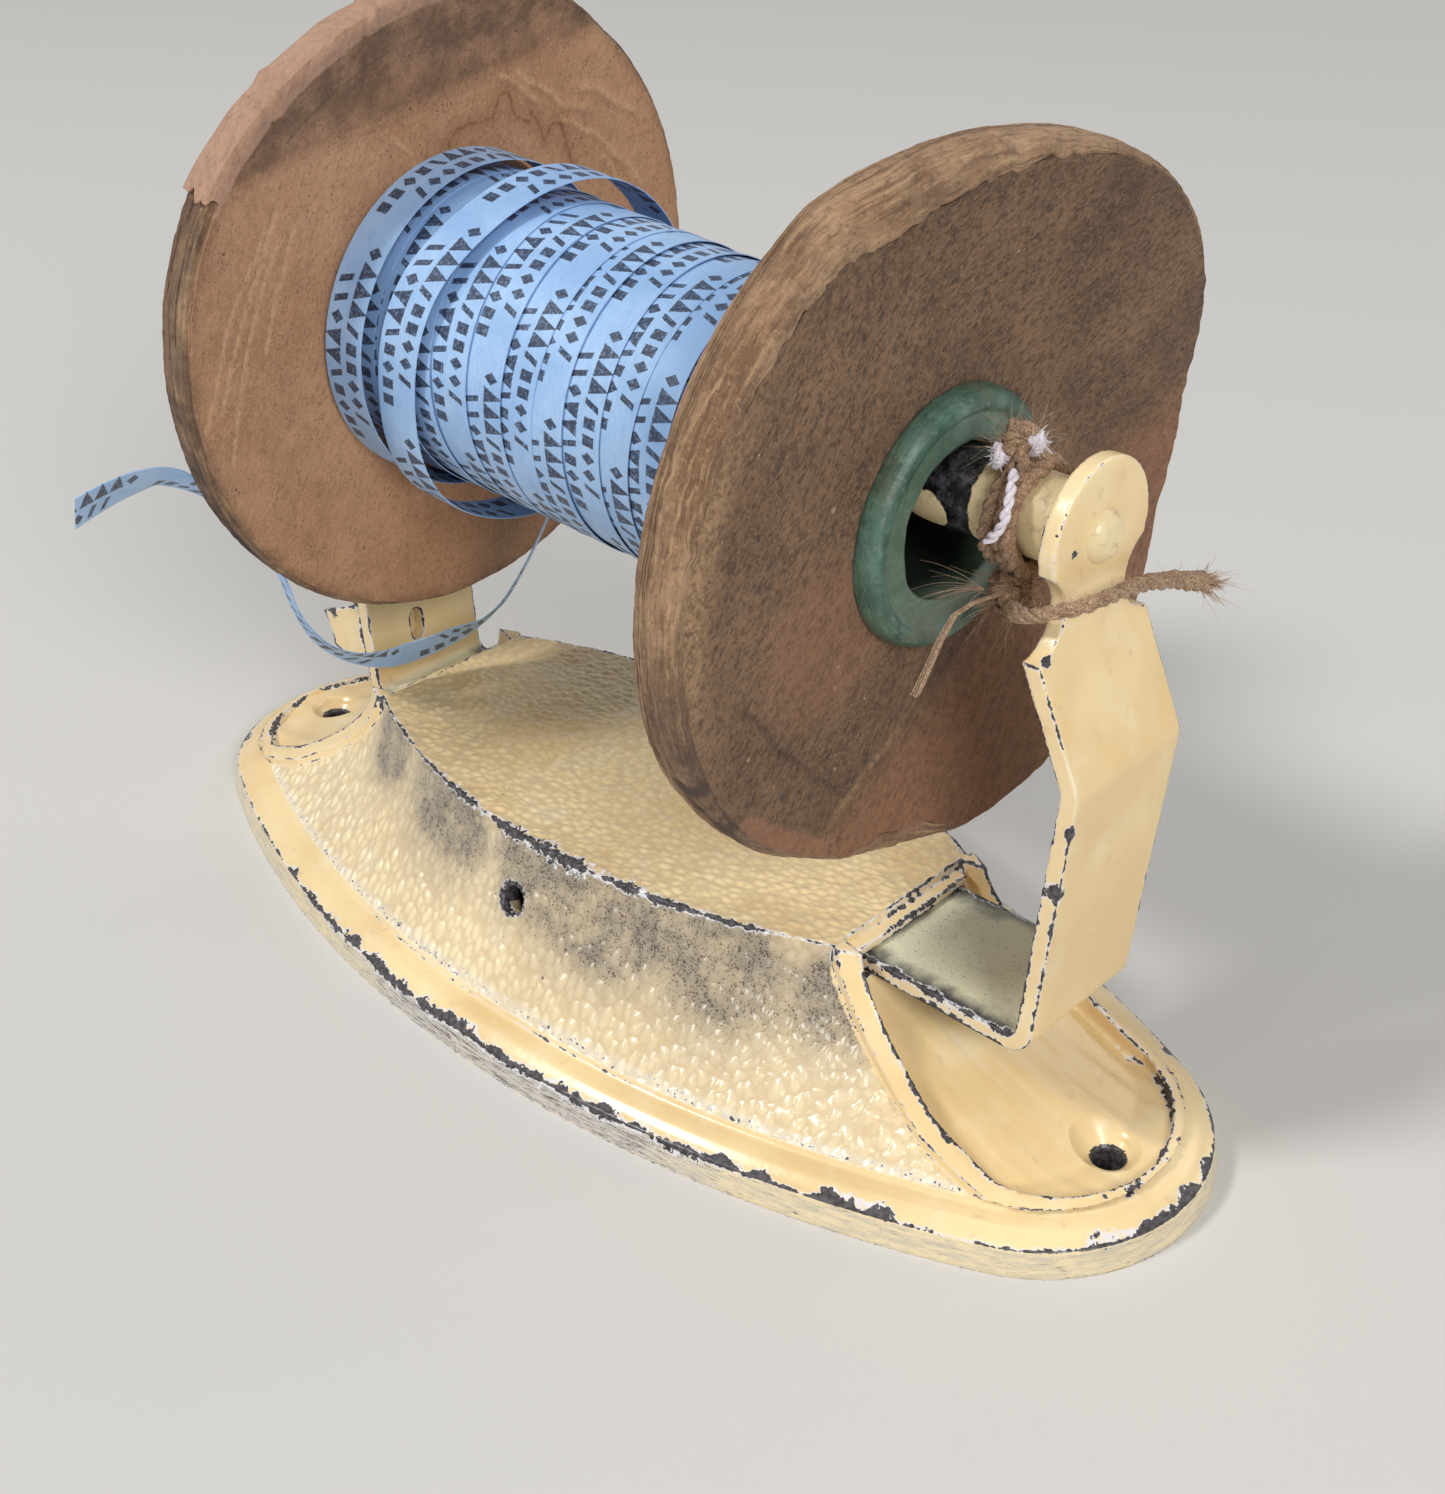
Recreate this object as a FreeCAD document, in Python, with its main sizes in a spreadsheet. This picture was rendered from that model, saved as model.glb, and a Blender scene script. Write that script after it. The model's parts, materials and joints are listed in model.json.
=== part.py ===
"""Counter-top tying-tape dispenser: iron foot, two strap arms and a pulpboard spool of paper tape.

Frame: the origin is the middle of the foot's underside, +X runs to the right end, +Z is up and
the operator stands at -Y. Lengths are millimetres.
"""
import FreeCAD, Part
import math
import os
import re
import Sketcher
from FreeCAD import Placement, Rotation, Vector

doc = FreeCAD.newDocument("tape_dispenser")

# Driving dimensions: alias, value, what it is
SIZES = [
    ("base_half_length", 120.0, "half length of the oval foot"),
    ("base_half_width", 52.5, "half width of the oval foot"),
    ("base_end_radius", 33.0, "radius of the foot's round ends"),
    ("rim_height", 5.0, "upright edge of the foot"),
    ("rim_draft", 1.0, "how far the upright edge leans in"),
    ("band_width", 6.0, "smooth band between edge and dome"),
    ("band_rise", 3.0, "rise of the smooth band"),
    ("dome_rise", 28.3, "height of the dome above the band"),
    ("crest_corner_x", 63.5, "crest corner, along the foot"),
    ("crest_corner_y", 16.0, "crest corner, across the foot"),
    ("crest_half_width", 31.9, "half width of the crest at its middle"),
    ("crest_end_bulge", 0.4, "bulge of the crest's ends"),
    ("power_corner_x", 1.8, "how steeply the corners fall, along"),
    ("power_corner_y", 1.5, "how steeply the corners fall, across"),
    ("power_side", 1.3, "how steeply the sides fall"),
    ("power_end", 2.6, "how steeply the ends fall"),
    ("wall_thick", 4.0, "wall of the casting"),
    ("rim_wall", 5.5, "wall of the casting at its rim"),
    ("roof_thick", 3.3, "roof of the casting above the strap slots"),
    ("rim_recess", 3.0, "depth of the recess inside the rim"),
    ("pad_inset", 28.0, "length of the solid pad at each end"),
    ("tongue_start_half", 15.5, "half width of the end panel at the crest"),
    ("tongue_half_width", 21.3, "half width of the end panel at its widest"),
    ("tongue_wide_margin", 36.0, "from the foot's end to where the end panel gets its full width"),
    ("tongue_close_margin", 23.0, "from the foot's end to where the end panel starts to close"),
    ("tongue_tip_margin", 8.0, "from the foot's end to the tip of the end panel"),
    ("panel_start_inset", 4.0, "how far the end panel starts inside the crest"),
    ("panel_sink", 1.6, "depth of the end panel"),
    ("bead_width", 3.2, "width of the bead round the end panel"),
    ("bead_rise", 0.8, "height of that bead"),
    ("screw_hole_margin", 15.8, "screw holes from the foot's ends"),
    ("screw_hole_radius", 2.6, "screw hole"),
    ("countersink_radius", 5.4, "countersink at the panel's face"),
    ("countersink_level", 8.2, "height of the panel at the screw holes"),
    ("front_hole_radius", 2.5, "empty hole in the front slope"),
    ("front_hole_x", -1.0, "place of that hole along the foot"),
    ("front_hole_rise", 17.0, "height of that hole above the band"),
    ("front_hole_tilt", 25.5, "how steeply that hole points down, in degrees"),
    ("strap_width", 26.8, "width of the arm strap"),
    ("strap_thick", 3.0, "thickness of the arm strap"),
    ("slot_play_side", 0.5, "play of the strap in its slot, each side"),
    ("slot_play_face", 0.1, "play of the strap in its slot, each face"),
    ("slot_reach", 20.0, "how far the cut for the strap's slot runs out past the crest"),
    ("elbow_x", 95.25, "outer corner of the arm's elbow"),
    ("knee_x", 99.5, "outermost bend of the arm"),
    ("knee_height", 80.4, "height of that bend"),
    ("shoulder_x", 90.8, "outer face of the arm's upper end"),
    ("shoulder_drop", 14.9, "shoulder bend below the axle"),
    ("bend_radius", 2.0, "inside radius of the strap's bends"),
    ("axle_height", 114.1, "height of the axles"),
    ("eye_radius", 11.5, "round eye of the arm"),
    ("notch_radius", 6.5, "round notch below the eye"),
    ("notch_centre_y", 13.9, "centre of that notch, across"),
    ("notch_drop", 9.2, "centre of that notch below the axle"),
    ("neck_rise", 1.1, "where the eye's round starts above the notch's centre"),
    ("arm_push_in", 25.6, "how much further the left arm is pushed in"),
    ("foot_length", 80.0, "length of the strap's foot"),
    ("guide_slot_from", 35.0, "guide slot from the elbow"),
    ("guide_slot_to", 77.0, "guide slot's end from the elbow"),
    ("guide_slot_half", 4.0, "half width of the guide slot"),
    ("guide_x", 30.0, "guide bosses from the middle"),
    ("guide_play", 0.2, "play of the boss in the guide slot"),
    ("thread_radius", 2.0, "clamp screw"),
    ("thread_depth", 5.0, "depth of the clamp screw's hole"),
    ("washer_radius", 7.0, "clamp washer"),
    ("washer_thick", 1.2, "clamp washer's thickness"),
    ("washer_play", 0.2, "play of the screw in its washer"),
    ("thread_spare", 1.0, "how far the screw stops short of its hole's end"),
    ("overlap", 0.01, "how far a cutting solid runs past the face that it opens"),
    ("screw_head_radius", 4.5, "clamp screw's pan head"),
    ("screw_head_height", 3.0, "height of that head"),
    ("screw_slot_width", 1.2, "driver slot"),
    ("screw_slot_depth", 1.4, "depth of the driver slot"),
    ("axle_radius", 6.4, "stub axle"),
    ("axle_length", 30.0, "stub axle from the arm's inner face"),
    ("axle_chamfer", 1.0, "chamfer at the axle's tip"),
    ("spigot_radius", 3.2, "axle spigot in the arm's eye"),
    ("peen_radius", 4.1, "peened head of the spigot"),
    ("peen_height", 1.8, "height of the peened head"),
    ("peen_crown", 0.3, "how far the peened head's edge is hollowed"),
    ("arm_hole_half", 1.5, "half width of the left arm's oblong hole"),
    ("arm_hole_low", 40.0, "low end of that hole"),
    ("arm_hole_high", 46.6, "high end of that hole"),
    ("arm_hole_y", -1.8, "place of that hole across the arm"),
    ("tab_thick", 1.4, "sheet of the side tab"),
    ("tab_reach", 13.0, "how far the tab's ear stands out"),
    ("tab_back_width", 17.0, "width of the tab's back plate"),
    ("tab_low", 8.0, "low edge of the tab above the elbow"),
    ("tab_high", 42.0, "high edge of the tab above the elbow"),
    ("ear_low", 8.0, "low edge of the ear above the elbow"),
    ("ear_tip_rise", 1.2, "rise of the ear's low edge at its tip"),
    ("ear_dip", 0.6, "dip of the ear's low edge in its middle"),
    ("ear_top_drop", 4.5, "drop of the ear's high edge at its tip"),
    ("ear_bulge", 0.8, "bulge of the ear's free edge"),
    ("ear_high", 21.0, "high edge of the ear above the elbow"),
    ("tab_rivet_radius", 2.0, "rivet of the tab"),
    ("tab_rivet_head", 3.6, "head of that rivet"),
    ("tab_rivet_head_height", 1.6, "height of its heads"),
    ("tab_rivet_play", 0.3, "play of the rivet in the arm's hole"),
    ("tab_rivet_rise", 33.0, "rivet above the elbow"),
    ("tab_rivet_y", -3.0, "rivet across the arm"),
    ("pivot_x", -50.0, "middle of the spool's left bearing"),
    ("left_face", 2.0, "left flange's inner face from the pivot"),
    ("flange_gap", 102.8, "space between the flanges"),
    ("flange_thick", 8.0, "flange with its facings"),
    ("facing_thick", 0.6, "kraft facing on a flange"),
    ("flange_radius", 57.6, "rim of the flanges"),
    ("facing_margin", 0.8, "how far a facing stops short of the rim"),
    ("collar_radius", 20.6, "rim of the green collars"),
    ("collar_proud", 4.0, "how far a collar stands out of its flange"),
    ("collar_bore", 12.5, "bore of the collars"),
    ("collar_spigot", 14.0, "how deep a collar sits in the core"),
    ("collar_side", 1.6, "straight side of a collar's rim"),
    ("collar_lip", 5.0, "width of a collar's rounded lip"),
    ("collar_lip_bulge", 1.4, "bulge of that lip"),
    ("collar_edge", 0.6, "broken edge of a collar's bore"),
    ("hang_clearance", 0.3, "clearance where the collar hangs on the axle"),
    ("core_inner", 14.5, "core tube, inside radius"),
    ("core_outer", 17.5, "core tube, outside radius"),
    ("seat_clearance", 0.1, "clearance of what is glued on the core"),
    ("winding_left", 27.5, "radius of the winding at its left end"),
    ("winding_waist", 26.2, "radius of the winding at its waist"),
    ("winding_right", 26.6, "radius of the winding at its right end"),
    ("winding_gap", 0.3, "gap between winding and flanges"),
    ("winding_dip", 0.3, "how far the winding falls at its left shoulder"),
    ("winding_shoulder_share", 0.2, "left shoulder, as a share of the gap"),
    ("winding_waist_share", 0.55, "waist, as a share of the gap"),
    ("tape_width", 9.5, "width of the tape"),
    ("loose_turn_radius", 30.6, "inside radius of the slack turn"),
    ("loose_turn_thick", 0.6, "thickness of the slack turn"),
    ("loose_turn_drop", 1.9, "how far the slack turn hangs down"),
    ("loose_turn_lean", 8.0, "lean of the slack turn in degrees"),
    ("loose_turn_x", 21.0, "slack turn from the pivot"),
    ("bush_clearance", 0.5, "clearance of the left bush on its axle"),
    ("bush_length", 13.0, "length of the left bush"),
    ("right_low_reach", 25.0, "right flange: crease of the lower bent part from the centre"),
    ("right_low_slope", 0.36, "right flange: slope of that part"),
    ("right_top_reach", 21.0, "right flange: crease of the upper bent part from the centre"),
    ("right_top_slope", 0.36, "right flange: slope of that part"),
    ("left_fold_reach", 38.5, "left flange: crease of the folded top from the centre"),
    ("left_fold_slope", 0.3, "left flange: slope of the folded top"),
    ("fold_softness", 5.0, "how gently a crease starts"),
    ("twine_radius", 1.5, "jute twine"),
    ("twine_gap", 0.1, "clearance of the twine on its axle"),
    ("twine_first_x", 75.6, "first turn of the twine"),
    ("knot_shift", 2.2, "knots from the first turn of the twine"),
    ("knot_radius", 3.4, "core of a knot"),
    ("knot_loop_radius", 3.0, "loop of twine round a knot"),
    ("tape_cord_radius", 1.5, "radius of the body that stands for the loose tape"),
]

# Sizes that follow from the driving ones
WORKED_OUT = [
    ("half_arc_radius", "=((base_half_length - base_end_radius) ^ 2 + base_half_width ^ 2"
                        " - base_end_radius ^ 2) / (2 * (base_half_width - base_end_radius))"),
    ("corner_turn", "=atan2(half_arc_radius - base_half_width; base_half_length - base_end_radius)"),
    ("tongue_wide_from", "=base_half_length - tongue_wide_margin"),
    ("tongue_wide_to", "=base_half_length - tongue_close_margin"),
    ("tongue_tip", "=base_half_length - tongue_tip_margin"),
    ("screw_hole_x", "=base_half_length - screw_hole_margin"),
    ("shoulder_height", "=axle_height - shoulder_drop"),
    ("notch_height", "=axle_height - notch_drop"),
    ("band_top", "=rim_height + band_rise"),
    ("band_inset", "=rim_draft + band_width"),
    ("crest_height", "=band_top + dome_rise"),
    ("ceiling", "=crest_height - roof_thick"),
    ("strap_top", "=ceiling - slot_play_face"),
    ("strap_under", "=strap_top - strap_thick"),
    ("lower_lean", "=atan2(knee_x - elbow_x; knee_height - strap_under)"),
    ("upper_lean", "=atan2(knee_x - shoulder_x; shoulder_height - knee_height)"),
    ("arm_inner_face", "=shoulder_x - strap_thick"),
    ("eye_top", "=axle_height + eye_radius"),
    ("washer_top", "=strap_under - slot_play_face"),
    ("right_face", "=left_face + flange_gap"),
    ("right_outer", "=right_face + flange_thick"),
    ("left_outer", "=left_face - flange_thick"),
    ("collar_tip", "=right_outer + collar_proud"),
    ("hang_drop", "=collar_bore - axle_radius - hang_clearance"),
    ("spool_lean", "=asin(hang_drop / collar_tip)"),
]
SHEET = "sizes"


def fill_sheet():
    sheet = doc.addObject("Spreadsheet::Sheet", SHEET)
    for row, (alias, value, note) in enumerate(SIZES, start=1):
        sheet.set(f"A{row}", note)
        sheet.set(f"B{row}", str(value))
        sheet.setAlias(f"B{row}", alias)
    for row, (alias, formula) in enumerate(WORKED_OUT, start=1):
        sheet.set(f"D{row}", formula)
        sheet.setAlias(f"D{row}", alias)
    doc.recompute()
    return sheet


sheet = fill_sheet()
ALIASES = {entry[0] for entry in SIZES + WORKED_OUT}


def full(expression):
    """The expression with the sheet's name put before each alias."""
    return re.sub(r"[a-z_]+", lambda m: f"{SHEET}.{m[0]}" if m[0] in ALIASES else m[0], str(expression))


def value(expression):
    result = sheet.evalExpression(full(expression))
    return float(getattr(result, "Value", result))


def bind(thing, **sizes):
    for name, expression in sizes.items():
        thing.setExpression(name, full(expression))
    return thing


def place(thing, x="0", y="0", z="0"):
    for name, expression in (("x", x), ("y", y), ("z", z)):
        thing.setExpression(f".Placement.Base.{name}", full(expression))
    return thing


def on_spool(thing):
    """Puts a piece drawn about its own X axis on the spool's leaning axis."""
    thing.Placement = Placement(Vector(0, 0, 0), Rotation(Vector(0, 1, 0), 1))
    thing.setExpression(".Placement.Rotation.Angle", full("spool_lean"))
    return place(thing, "pivot_x", "0", "axle_height")


def spool_placement():
    return Placement(Vector(value("pivot_x"), 0, value("axle_height")),
                     Rotation(Vector(0, 1, 0), value("spool_lean")))


# Outlines
def arc_centre(start, end, bulge):
    """Which coordinate of an arc's centre to fix, and its value, from how far the arc stands out."""
    across = f"(({end[0]}) - ({start[0]}))"
    up = f"(({end[1]}) - ({start[1]}))"
    chord = f"sqrt({across} ^ 2 + {up} ^ 2)"
    share = f"(4 * ({bulge}) ^ 2 - {chord} ^ 2) / (8 * ({bulge}) * {chord})"
    if abs(value(up)) > abs(value(across)):
        return "DistanceX", f"(({start[0]}) + ({end[0]})) / 2 + {up} * {share}"
    return "DistanceY", f"(({start[1]}) + ({end[1]})) / 2 - {across} * {share}"


def add_arc(sketch, start, end, bulge):
    """An arc that bulges to the right of the way from start to end, or to the left if bulge is below 0."""
    a = Vector(value(start[0]), value(start[1]), 0)
    b = Vector(value(end[0]), value(end[1]), 0)
    along = (b - a).normalize()
    middle = (a + b) / 2 + Vector(along.y, -along.x, 0) * value(bulge)
    return sketch.addGeometry(Part.Arc(a, middle, b), False)


def outline(sketch, corners, bulges=None):
    """A closed outline whose corners and arcs are bound to the sheet."""
    bulges = bulges or {}
    count = len(corners)
    ends = []
    for i, start in enumerate(corners):
        end = corners[(i + 1) % count]
        if i in bulges:
            add_arc(sketch, start, end, bulges[i])
            ends.append((1, 2) if value(bulges[i]) > 0 else (2, 1))
        else:
            line = Part.LineSegment(Vector(value(start[0]), value(start[1]), 0),
                                    Vector(value(end[0]), value(end[1]), 0))
            sketch.addGeometry(line, False)
            ends.append((1, 2))
    for i in range(count):
        following = (i + 1) % count
        sketch.addConstraint(Sketcher.Constraint("Coincident", i, ends[i][1], following, ends[following][0]))
    for i, start in enumerate(corners):
        for kind, coordinate in zip(("DistanceX", "DistanceY"), start):
            number = sketch.addConstraint(
                Sketcher.Constraint(kind, -1, 1, i, ends[i][0], value(coordinate)))
            sketch.setExpression(f"Constraints[{number}]", full(coordinate))
        if i in bulges:
            kind, centre = arc_centre(start, corners[(i + 1) % count], bulges[i])
            number = sketch.addConstraint(Sketcher.Constraint(kind, -1, 1, i, 3, value(centre)))
            sketch.setExpression(f"Constraints[{number}]", full(centre))
    return sketch


def sketch_at(name, corners, bulges=None, z="0"):
    sketch = doc.addObject("Sketcher::SketchObject", name)
    outline(sketch, corners, bulges)
    return place(sketch, z=z)


def body_sketch(body, name, plane, corners, bulges=None):
    sketch = body.newObject("Sketcher::SketchObject", name)
    role = [feature for feature in body.Origin.OriginFeatures if feature.Role == plane][0]
    sketch.AttachmentSupport = [(role, "")]
    sketch.MapMode = "FlatFace"
    return outline(sketch, corners, bulges)


def turned(name, profile, bulges=None):
    """A piece turned about its own X axis; the profile's points are along the axis and out from it."""
    body = doc.addObject("PartDesign::Body", name)
    sketch = body_sketch(body, f"{name}_profile", "XZ_Plane", profile, bulges)
    turn = body.newObject("PartDesign::Revolution", f"{name}_turn")
    turn.Profile = sketch
    turn.ReferenceAxis = (sketch, ["H_Axis"])
    turn.Angle = 360
    return body


def cylinder(name, radius, height, x="0", y="0", z="0"):
    return place(bind(doc.addObject("Part::Cylinder", name), Radius=radius, Height=height), x, y, z)


def box(name, length, width, height, x="0", y="0", z="0"):
    return place(bind(doc.addObject("Part::Box", name), Length=length, Width=width, Height=height), x, y, z)


def fuse(name, shapes):
    result = doc.addObject("Part::MultiFuse", name)
    result.Shapes = shapes
    return result


def common(name, shapes):
    result = doc.addObject("Part::MultiCommon", name)
    result.Shapes = shapes
    return result


def cut(name, base, tool):
    result = doc.addObject("Part::Cut", name)
    result.Base = base
    result.Tool = tool
    return result


def loft(name, sections, ruled=False):
    result = doc.addObject("Part::Loft", name)
    result.Sections = sections
    result.Solid = True
    result.Ruled = ruled
    return result


def raised(name, sketch, height):
    """A prism over a sketch that lies level."""
    result = doc.addObject("Part::Extrusion", name)
    result.Base = sketch
    result.DirMode = "Custom"
    result.Dir = Vector(0, 0, 1)
    result.Solid = True
    return bind(result, LengthFwd=height)


def mirrored(name, source):
    result = doc.addObject("Part::Mirroring", name)
    result.Source = source
    result.Normal = Vector(1, 0, 0)
    return result


def both_ends(name, source):
    return fuse(name, [source, mirrored(f"{name}_left", source)])


# Foot casting
def level_section(name, corner_x, corner_y, end, side, z):
    """A level section of the foot: two side arcs and two end arcs between four corners."""
    corners = [(corner_x, f"-({corner_y})"), (corner_x, corner_y),
               (f"-({corner_x})", corner_y), (f"-({corner_x})", f"-({corner_y})")]
    end_bulge = f"({end}) - ({corner_x})"
    side_bulge = f"({side}) - ({corner_y})"
    return sketch_at(name, corners, {0: end_bulge, 1: side_bulge, 2: end_bulge, 3: side_bulge}, z)


def rim_section(name, inset, z):
    """The foot's oval, moved in by an inset."""
    corner_x = f"(base_half_length - base_end_radius + (base_end_radius - ({inset})) * cos(corner_turn))"
    corner_y = f"((base_end_radius - ({inset})) * sin(corner_turn))"
    return level_section(name, corner_x, corner_y, f"base_half_length - ({inset})",
                         f"base_half_width - ({inset})", z)


DOME_LEVELS = (0.0, 0.09, 0.22, 0.4, 0.6, 0.8, 1.0)


def dome(name, grow, lift):
    """The flared dome from band to crest, moved out by grow and up by lift."""
    foot_x = "(base_half_length - base_end_radius + (base_end_radius - band_inset) * cos(corner_turn))"
    foot_y = "((base_end_radius - band_inset) * sin(corner_turn))"
    shapes = {
        "corner_x": ("crest_corner_x", foot_x, "power_corner_x"),
        "corner_y": ("crest_corner_y", foot_y, "power_corner_y"),
        "end": ("(crest_corner_x + crest_end_bulge)", "(base_half_length - band_inset)", "power_end"),
        "side": ("crest_half_width", "(base_half_width - band_inset)", "power_side"),
    }
    sections = []
    for number, rise in enumerate(DOME_LEVELS):
        sizes = {key: f"({crest} + ({low} - {crest}) * {1 - rise:.3f} ^ {power} + ({grow}))"
                 for key, (crest, low, power) in shapes.items()}
        if rise == 1.0:
            sizes = {key: f"({crest} + ({grow}))" for key, (crest, low, power) in shapes.items()}
        height = f"band_top + {rise} * dome_rise + ({lift})"
        sections.append(level_section(f"{name}_level_{number}", sizes["corner_x"], sizes["corner_y"],
                                      sizes["end"], sizes["side"], height))
    return loft(name, sections)


def panel_prism(name, margin):
    """The end panel's outline in plan, moved out by a margin."""
    corners = [("crest_corner_x - panel_start_inset", f"-(tongue_start_half + {margin})"),
               ("tongue_wide_from", f"-(tongue_half_width + {margin})"),
               ("tongue_wide_to", f"-(tongue_half_width + {margin})"),
               ("tongue_wide_to", f"tongue_half_width + {margin}"),
               ("tongue_wide_from", f"tongue_half_width + {margin}"),
               ("crest_corner_x - panel_start_inset", f"tongue_start_half + {margin}")]
    tip = f"tongue_tip + {margin} - tongue_wide_to"
    sketch = sketch_at(f"{name}_outline", corners, {2: tip})
    return raised(name, sketch, "crest_height")


def base_casting():
    band = fuse("foot_rim", [
        loft("foot_edge", [rim_section("foot_oval_low", "0", "0"),
                           rim_section("foot_oval_high", "rim_draft", "rim_height")], True),
        loft("foot_band", [rim_section("band_oval_low", "rim_draft", "rim_height"),
                           rim_section("band_oval_high", "band_inset", "band_top")], True)])
    panels = both_ends("panels", panel_prism("panel", "0"))
    panels_and_beads = both_ends("panels_and_beads", panel_prism("panel_and_bead", "bead_width"))
    beads = cut("beads", panels_and_beads, panels)
    pebbled = cut("pebbled_dome", dome("dome", "0", "0"), panels)
    fields = common("panel_fields", [dome("low_dome", "-panel_sink", "-panel_sink"), panels])
    ribs = common("panel_ribs", [dome("high_dome", "bead_rise", "bead_rise"), beads])
    body = fuse("foot_body", [band, pebbled, fields, ribs])

    under = "base_half_length - pad_inset"
    hollow_limit = box("hollow_limit", f"2 * ({under})", "2 * base_half_width", "crest_height + 5",
                       f"-({under})", "-base_half_width", "-1")
    rim_hollow = loft("rim_hollow", [rim_section("recess_low", "rim_wall", "-1"),
                                     rim_section("recess_high", "rim_wall", "rim_recess")], True)
    foot_hollow = loft("foot_hollow", [
        rim_section("neck_low", "band_inset + wall_thick", "-1"),
        rim_section("neck_high", "band_inset + wall_thick", "band_top - roof_thick + overlap")], True)
    dome_hollow = dome("dome_hollow", "-wall_thick", "-roof_thick")
    boss = cylinder("guide_boss", "guide_slot_half - guide_play",
                    "ceiling + 1 - strap_under - slot_play_face",
                    "guide_x", "0", "strap_under + slot_play_face")
    dome_room = cut("dome_room", dome_hollow, both_ends("guide_bosses", boss))
    hollows = [common(f"{room.Name}_limited", [room, hollow_limit])
               for room in (rim_hollow, foot_hollow, dome_room)]

    slot_width = "(strap_width + 2 * slot_play_side)"
    slot = box("strap_slot", "crest_corner_x + slot_reach - guide_x - 2 * guide_slot_half", slot_width,
               "ceiling - strap_under + slot_play_face", "guide_x + 2 * guide_slot_half",
               f"-{slot_width} / 2", "strap_under - slot_play_face")
    slots = both_ends("strap_slots", slot)

    hole = cylinder("screw_hole", "screw_hole_radius", "band_top + 10", "screw_hole_x", "0", "-1")
    sink = doc.addObject("Part::Cone", "screw_countersink")
    bind(sink, Radius1="screw_hole_radius", Radius2="countersink_radius + 4",
         Height="countersink_radius + 4 - screw_hole_radius")
    place(sink, "screw_hole_x", "0", "countersink_level - (countersink_radius - screw_hole_radius)")
    holes = both_ends("screw_holes", fuse("screw_hole_pair", [hole, sink]))

    front = cylinder("front_hole", "front_hole_radius", "4 * wall_thick")
    front.Placement = Placement(Vector(0, 0, 0), Rotation(Vector(-1, 0, 0), 1))
    front.setExpression(".Placement.Rotation.Angle", full("90 + front_hole_tilt"))
    share = "(1 - front_hole_rise / dome_rise)"
    slope_y = f"(crest_half_width + (base_half_width - band_inset - crest_half_width) * {share} ^ power_side)"
    place(front, "front_hole_x", f"-{slope_y} - 1.5 * wall_thick * cos(front_hole_tilt)",
          "band_top + front_hole_rise + 1.5 * wall_thick * sin(front_hole_tilt)")
    shell = body
    for number, tool in enumerate([*hollows, slots, holes, front], start=1):
        shell = cut(f"foot_cut_{number}", shell, tool)

    thread = cylinder("clamp_thread", "thread_radius", "thread_depth", "guide_x", "0",
                      "strap_under + slot_play_face - overlap")
    return cut("base_casting", shell, both_ends("clamp_threads", thread))


def foot_washers():
    ring = cut("washer", cylinder("washer_disc", "washer_radius", "washer_thick"),
               cylinder("washer_hole", "thread_radius + washer_play", "washer_thick"))
    place(ring, "guide_x", "0", "washer_top - washer_thick")
    return both_ends("foot_washers", ring)


def foot_screws():
    under = "washer_top - washer_thick"
    tip = "strap_under + slot_play_face + thread_depth - thread_spare"
    shank = cylinder("screw_shank", "thread_radius", f"{tip} - ({under})", "guide_x", "0", under)
    head = cylinder("screw_head", "screw_head_radius", "screw_head_height", "guide_x", "0",
                    f"{under} - screw_head_height")
    slot = box("screw_slot", "2 * screw_head_radius", "screw_slot_width", "screw_slot_depth",
               "guide_x - screw_head_radius", "-screw_slot_width / 2", f"{under} - screw_head_height")
    return both_ends("foot_screws", cut("screw", fuse("screw_blank", [shank, head]), slot))


# Arms
def mitre(lean_in, lean_out):
    """How far the inner corner of a bend lies from the outer one, across and up, per strap thickness."""
    return (f"(cos({lean_in}) + cos({lean_out})) / (1 + cos({lean_in} - ({lean_out})))",
            f"(sin({lean_in}) + sin({lean_out})) / (1 + cos({lean_in} - ({lean_out})))")


def edges_near(shape, spots, tolerance=0.05):
    """Names of the edges across the strap that pass through the given places in the XZ plane."""
    names = []
    for number, edge in enumerate(shape.Edges, start=1):
        ends = [vertex.Point for vertex in edge.Vertexes]
        if len(ends) < 2 or abs(ends[0].y - ends[1].y) < 1:
            continue
        for x, z in spots:
            if all(math.hypot(end.x - x, end.z - z) < tolerance for end in ends):
                names.append(f"Edge{number}")
    return names


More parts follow.
